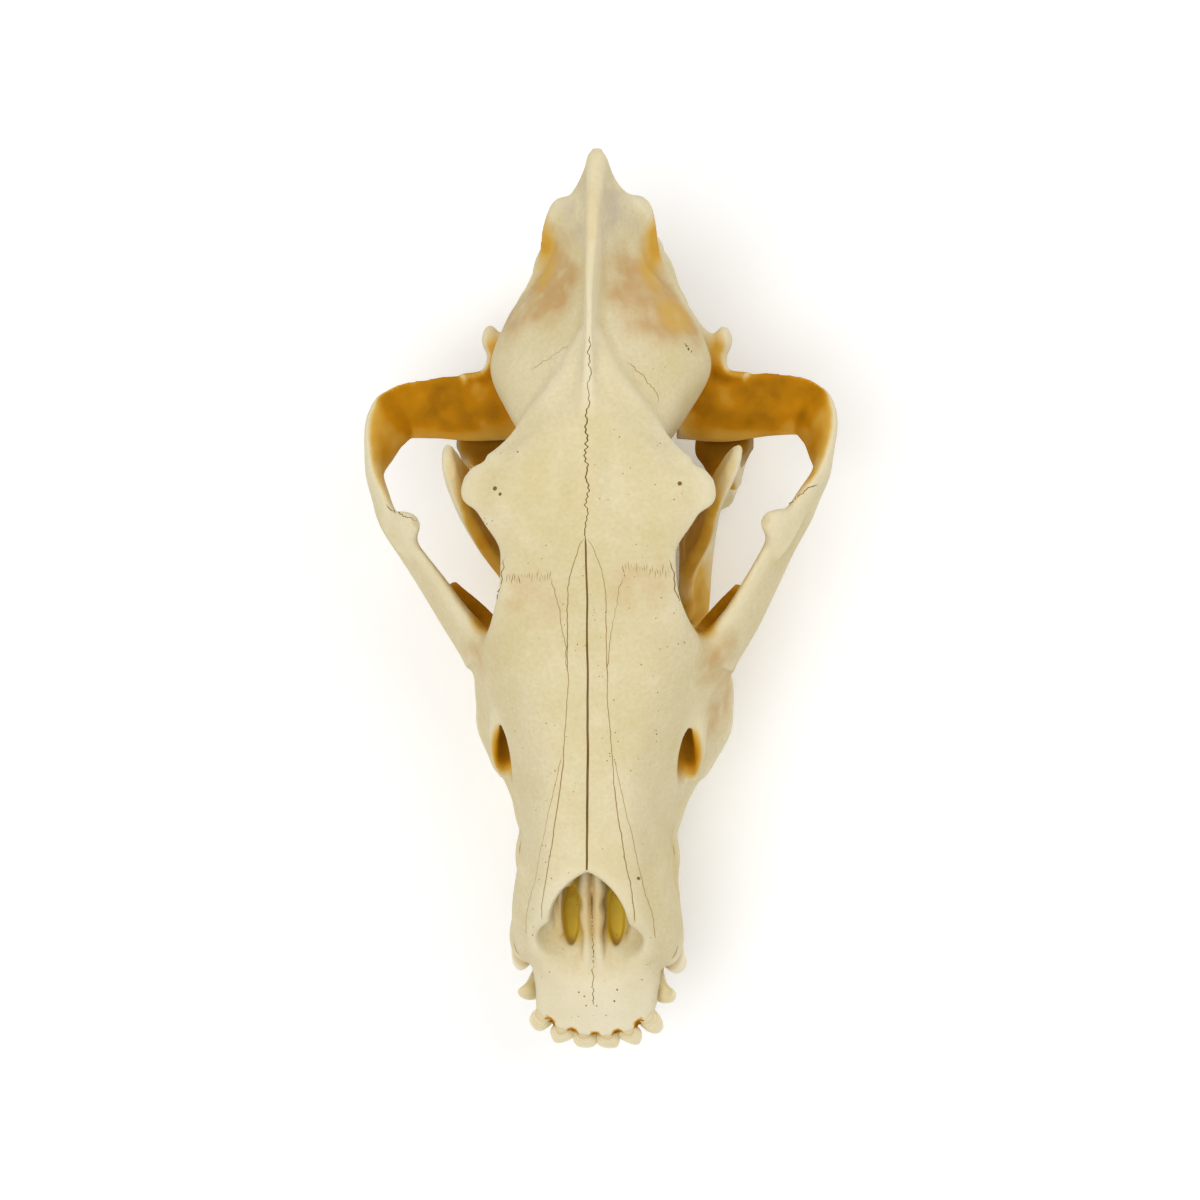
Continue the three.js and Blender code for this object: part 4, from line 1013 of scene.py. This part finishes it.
def bone_material():
    """Cleaned bone: pale ivory, mottled cream, ochre where soft tissue stained it, painted shade, brown, in
    the hollows and painted light on bulges, fine pores of dust and painted shadow, and a low sheen."""
    material, tree, shader, where = new_material("cleaned bone")
    fine, grain = noise(tree, where, SPECKLE, 5.0), noise(tree, where, GRAIN, 4.0)
    cavity_shading, stain = attribute(tree, "cavity_shading"), attribute(tree, "stain")
    blot, soft = ramp(tree, fine, 0.3, 0.62, 0.3, 1.0), ramp(tree, fine, 0.3, 0.62, 0.6, 1.0)
    cells = add(tree, "ShaderNodeTexVoronoi", {"Vector": where, "Scale": 1 / PORE_SPACING})
    sparse = ramp(tree, noise(tree, where, PORE_CLUMP), 0.52, 0.6)
    base = mix(tree, ramp(tree, noise(tree, where, MOTTLE), 0.35, 0.65), colour("#E1D5B0"), "#D9CA9B")
    # Layers from the lowest up: what shows them, its values at no and full cover, the full cover,
    # what it is multiplied by, colour
    for value, none, full, most, by, code in (
        (fine, 0.5, 0.8, 0.4, 1, "#EADFBF"),
        (grain, 0.35, 0.7, 0.34, 1, "#C7B480"),
        # Painted light on bulges, then painted shade, brown, in hollows
        (cavity_shading, -0.1, -0.5, 0.35, 1, "#EEE5C8"),
        (cavity_shading, 0.1, 0.7, 0.5, 1, "#BF9442"),
        (attribute(tree, "pale"), 0.1, 0.9, 0.5, 1, "#ECE3CC"),
        (attribute(tree, "rose"), 0.1, 0.8, 0.8, soft, "#C2965A"),
        (attribute(tree, "grey"), 0.1, 0.9, 0.6, blot, "#B3A79A"),
        (stain, 0.05, 0.35, 1, 1, "#D4AA4A"),
        (stain, 0.3, 0.7, 1, 1, "#BC7E06"),
        (stain, 0.65, 1, 0.7, blot, "#865802"),
        # Olive painted shadow on the nose's slot floors
        (attribute(tree, "olive_shadow"), 0.2, 0.9, 1, 1, "#E2C44A"),
        # Painted shade in deep hollows and shadowed gaps
        (attribute(tree, "deep_shade"), 0.45, 1, 0.75, 1, "#7C560C"),
        # Dark pores: dust and painted shadow
        (cells.outputs["Distance"], 0.06, 0.035, 0.7, sparse, "#6A4A20"),
    ):
        share = times(tree, ramp(tree, value, none, full, 0.0, most), by)
        base = mix(tree, share, base, code)
    relief = add(tree, "ShaderNodeBump", {"Strength": 0.25, "Distance": GRAIN_RELIEF, "Height": grain})
    relief = add(tree, "ShaderNodeBump", {"Strength": 0.35, "Distance": SPECKLE_RELIEF, "Height": fine,
                                          "Normal": relief.outputs[0]})
    fill(tree, shader, {"Base Color": base, "Roughness": 0.7, "Specular IOR Level": 0.08,
                        "Normal": relief.outputs[0]})
    return material


def enamel_material():
    """Tooth enamel: ivory white and satin on the crown, yellower to brown at the neck."""
    material, tree, shader, where = new_material("tooth enamel")
    streak = ramp(tree, noise(tree, where, ENAMEL_STREAK, 4.0), 0.45, 0.75, 0.0, 0.4)
    base = mix(tree, ramp(tree, attribute(tree, "crown"), -0.05, 0.22), colour("#BB9148"), "#EBDDB2")
    base = mix(tree, streak, base, "#DCC48A")
    fill(tree, shader, {"Base Color": base, "Roughness": 0.35, "Specular IOR Level": 0.3})
    return material


def mark_material():
    """The dark dust and shadow in seams, cracks and pores."""
    material, tree, shader, where = new_material("seam dust and shadow")
    cloud = ramp(tree, noise(tree, where, DUST_CLOUD), 0.35, 0.65)
    base = mix(tree, cloud, colour("#9C7A3C"), "#BCA066")
    base = mix(tree, attribute(tree, "dark"), base, "#5A3C12")
    fill(tree, shader, {"Base Color": base, "Roughness": 0.9, "Specular IOR Level": 0.0})
    return material


bone, enamel = bone_material(), enamel_material()
marks.data.materials.append(mark_material())
for piece in (skull, jaw_left, jaw_right):
    piece.data.materials.append(bone)
for piece in (upper_teeth, lower_teeth):
    piece.data.materials.append(enamel)


# Floor, light and camera, in metres
FLOOR_HALF = 3.0
FLOOR_DROP = 0.0002  # the floor lies this far below the jaw
FLOOR_GLOW = 0.1
SKY_STRENGTH = 0.5
WHITE = "#FFFFFF"
LIGHT_AIM = (0, 0, 0.05)
# Name, place, size, watts
LIGHTS = [("key", (-0.35, -0.2, 1.5), 1.3, 11), ("fill", (0.7, 0.5, 1.2), 1.0, 5)]


def area_light(name, place, size, power):
    """A round lamp that faces the skull."""
    data = bpy.data.lights.new(name, "AREA")
    data.shape, data.size, data.energy = "DISK", size, power
    turn = (Vector(LIGHT_AIM) - Vector(place)).to_track_quat("-Z", "Y")
    put(name, data).matrix_world = Matrix.Translation(place) @ turn.to_matrix().to_4x4()


def set_stage():
    """White paper under the skull, an even white sky and two lamps."""
    corners = np.array([(-1, -1, 0), (1, -1, 0), (1, 1, 0), (-1, 1, 0)]) * FLOOR_HALF
    floor = make_object("floor", corners - (0, 0, FLOOR_DROP), [np.array([[0, 1, 2, 3]])])
    material, tree, shader, _ = new_material("pale paper")
    fill(tree, shader, {"Base Color": colour(WHITE), "Emission Color": colour(WHITE),
                        "Emission Strength": FLOOR_GLOW, "Roughness": 0.9})
    floor.data.materials.append(material)
    world = bpy.data.worlds.new("studio")
    world.use_nodes = True
    tree = world.node_tree
    fill(tree, tree.nodes["Background"], {"Color": colour(WHITE), "Strength": SKY_STRENGTH})
    bpy.context.scene.world = world
    for light in LIGHTS:
        area_light(*light)


def set_camera():
    """A camera above the skull, leant to the animal's left."""
    data = bpy.data.cameras.new("camera")
    data.angle = CAMERA_FIELD
    obj = put("camera", data)
    turn = Matrix.Rotation(CAMERA_LEAN, 4, "Y") @ Matrix.Rotation(CAMERA_ROLL, 4, "Z")
    obj.matrix_world = Matrix.Translation(CAMERA_AIM) @ turn @ Matrix.Translation((0, 0, CAMERA_DISTANCE))
    bpy.context.scene.camera = obj


set_stage()
set_camera()
bpy.context.scene.view_settings.view_transform = "Standard"
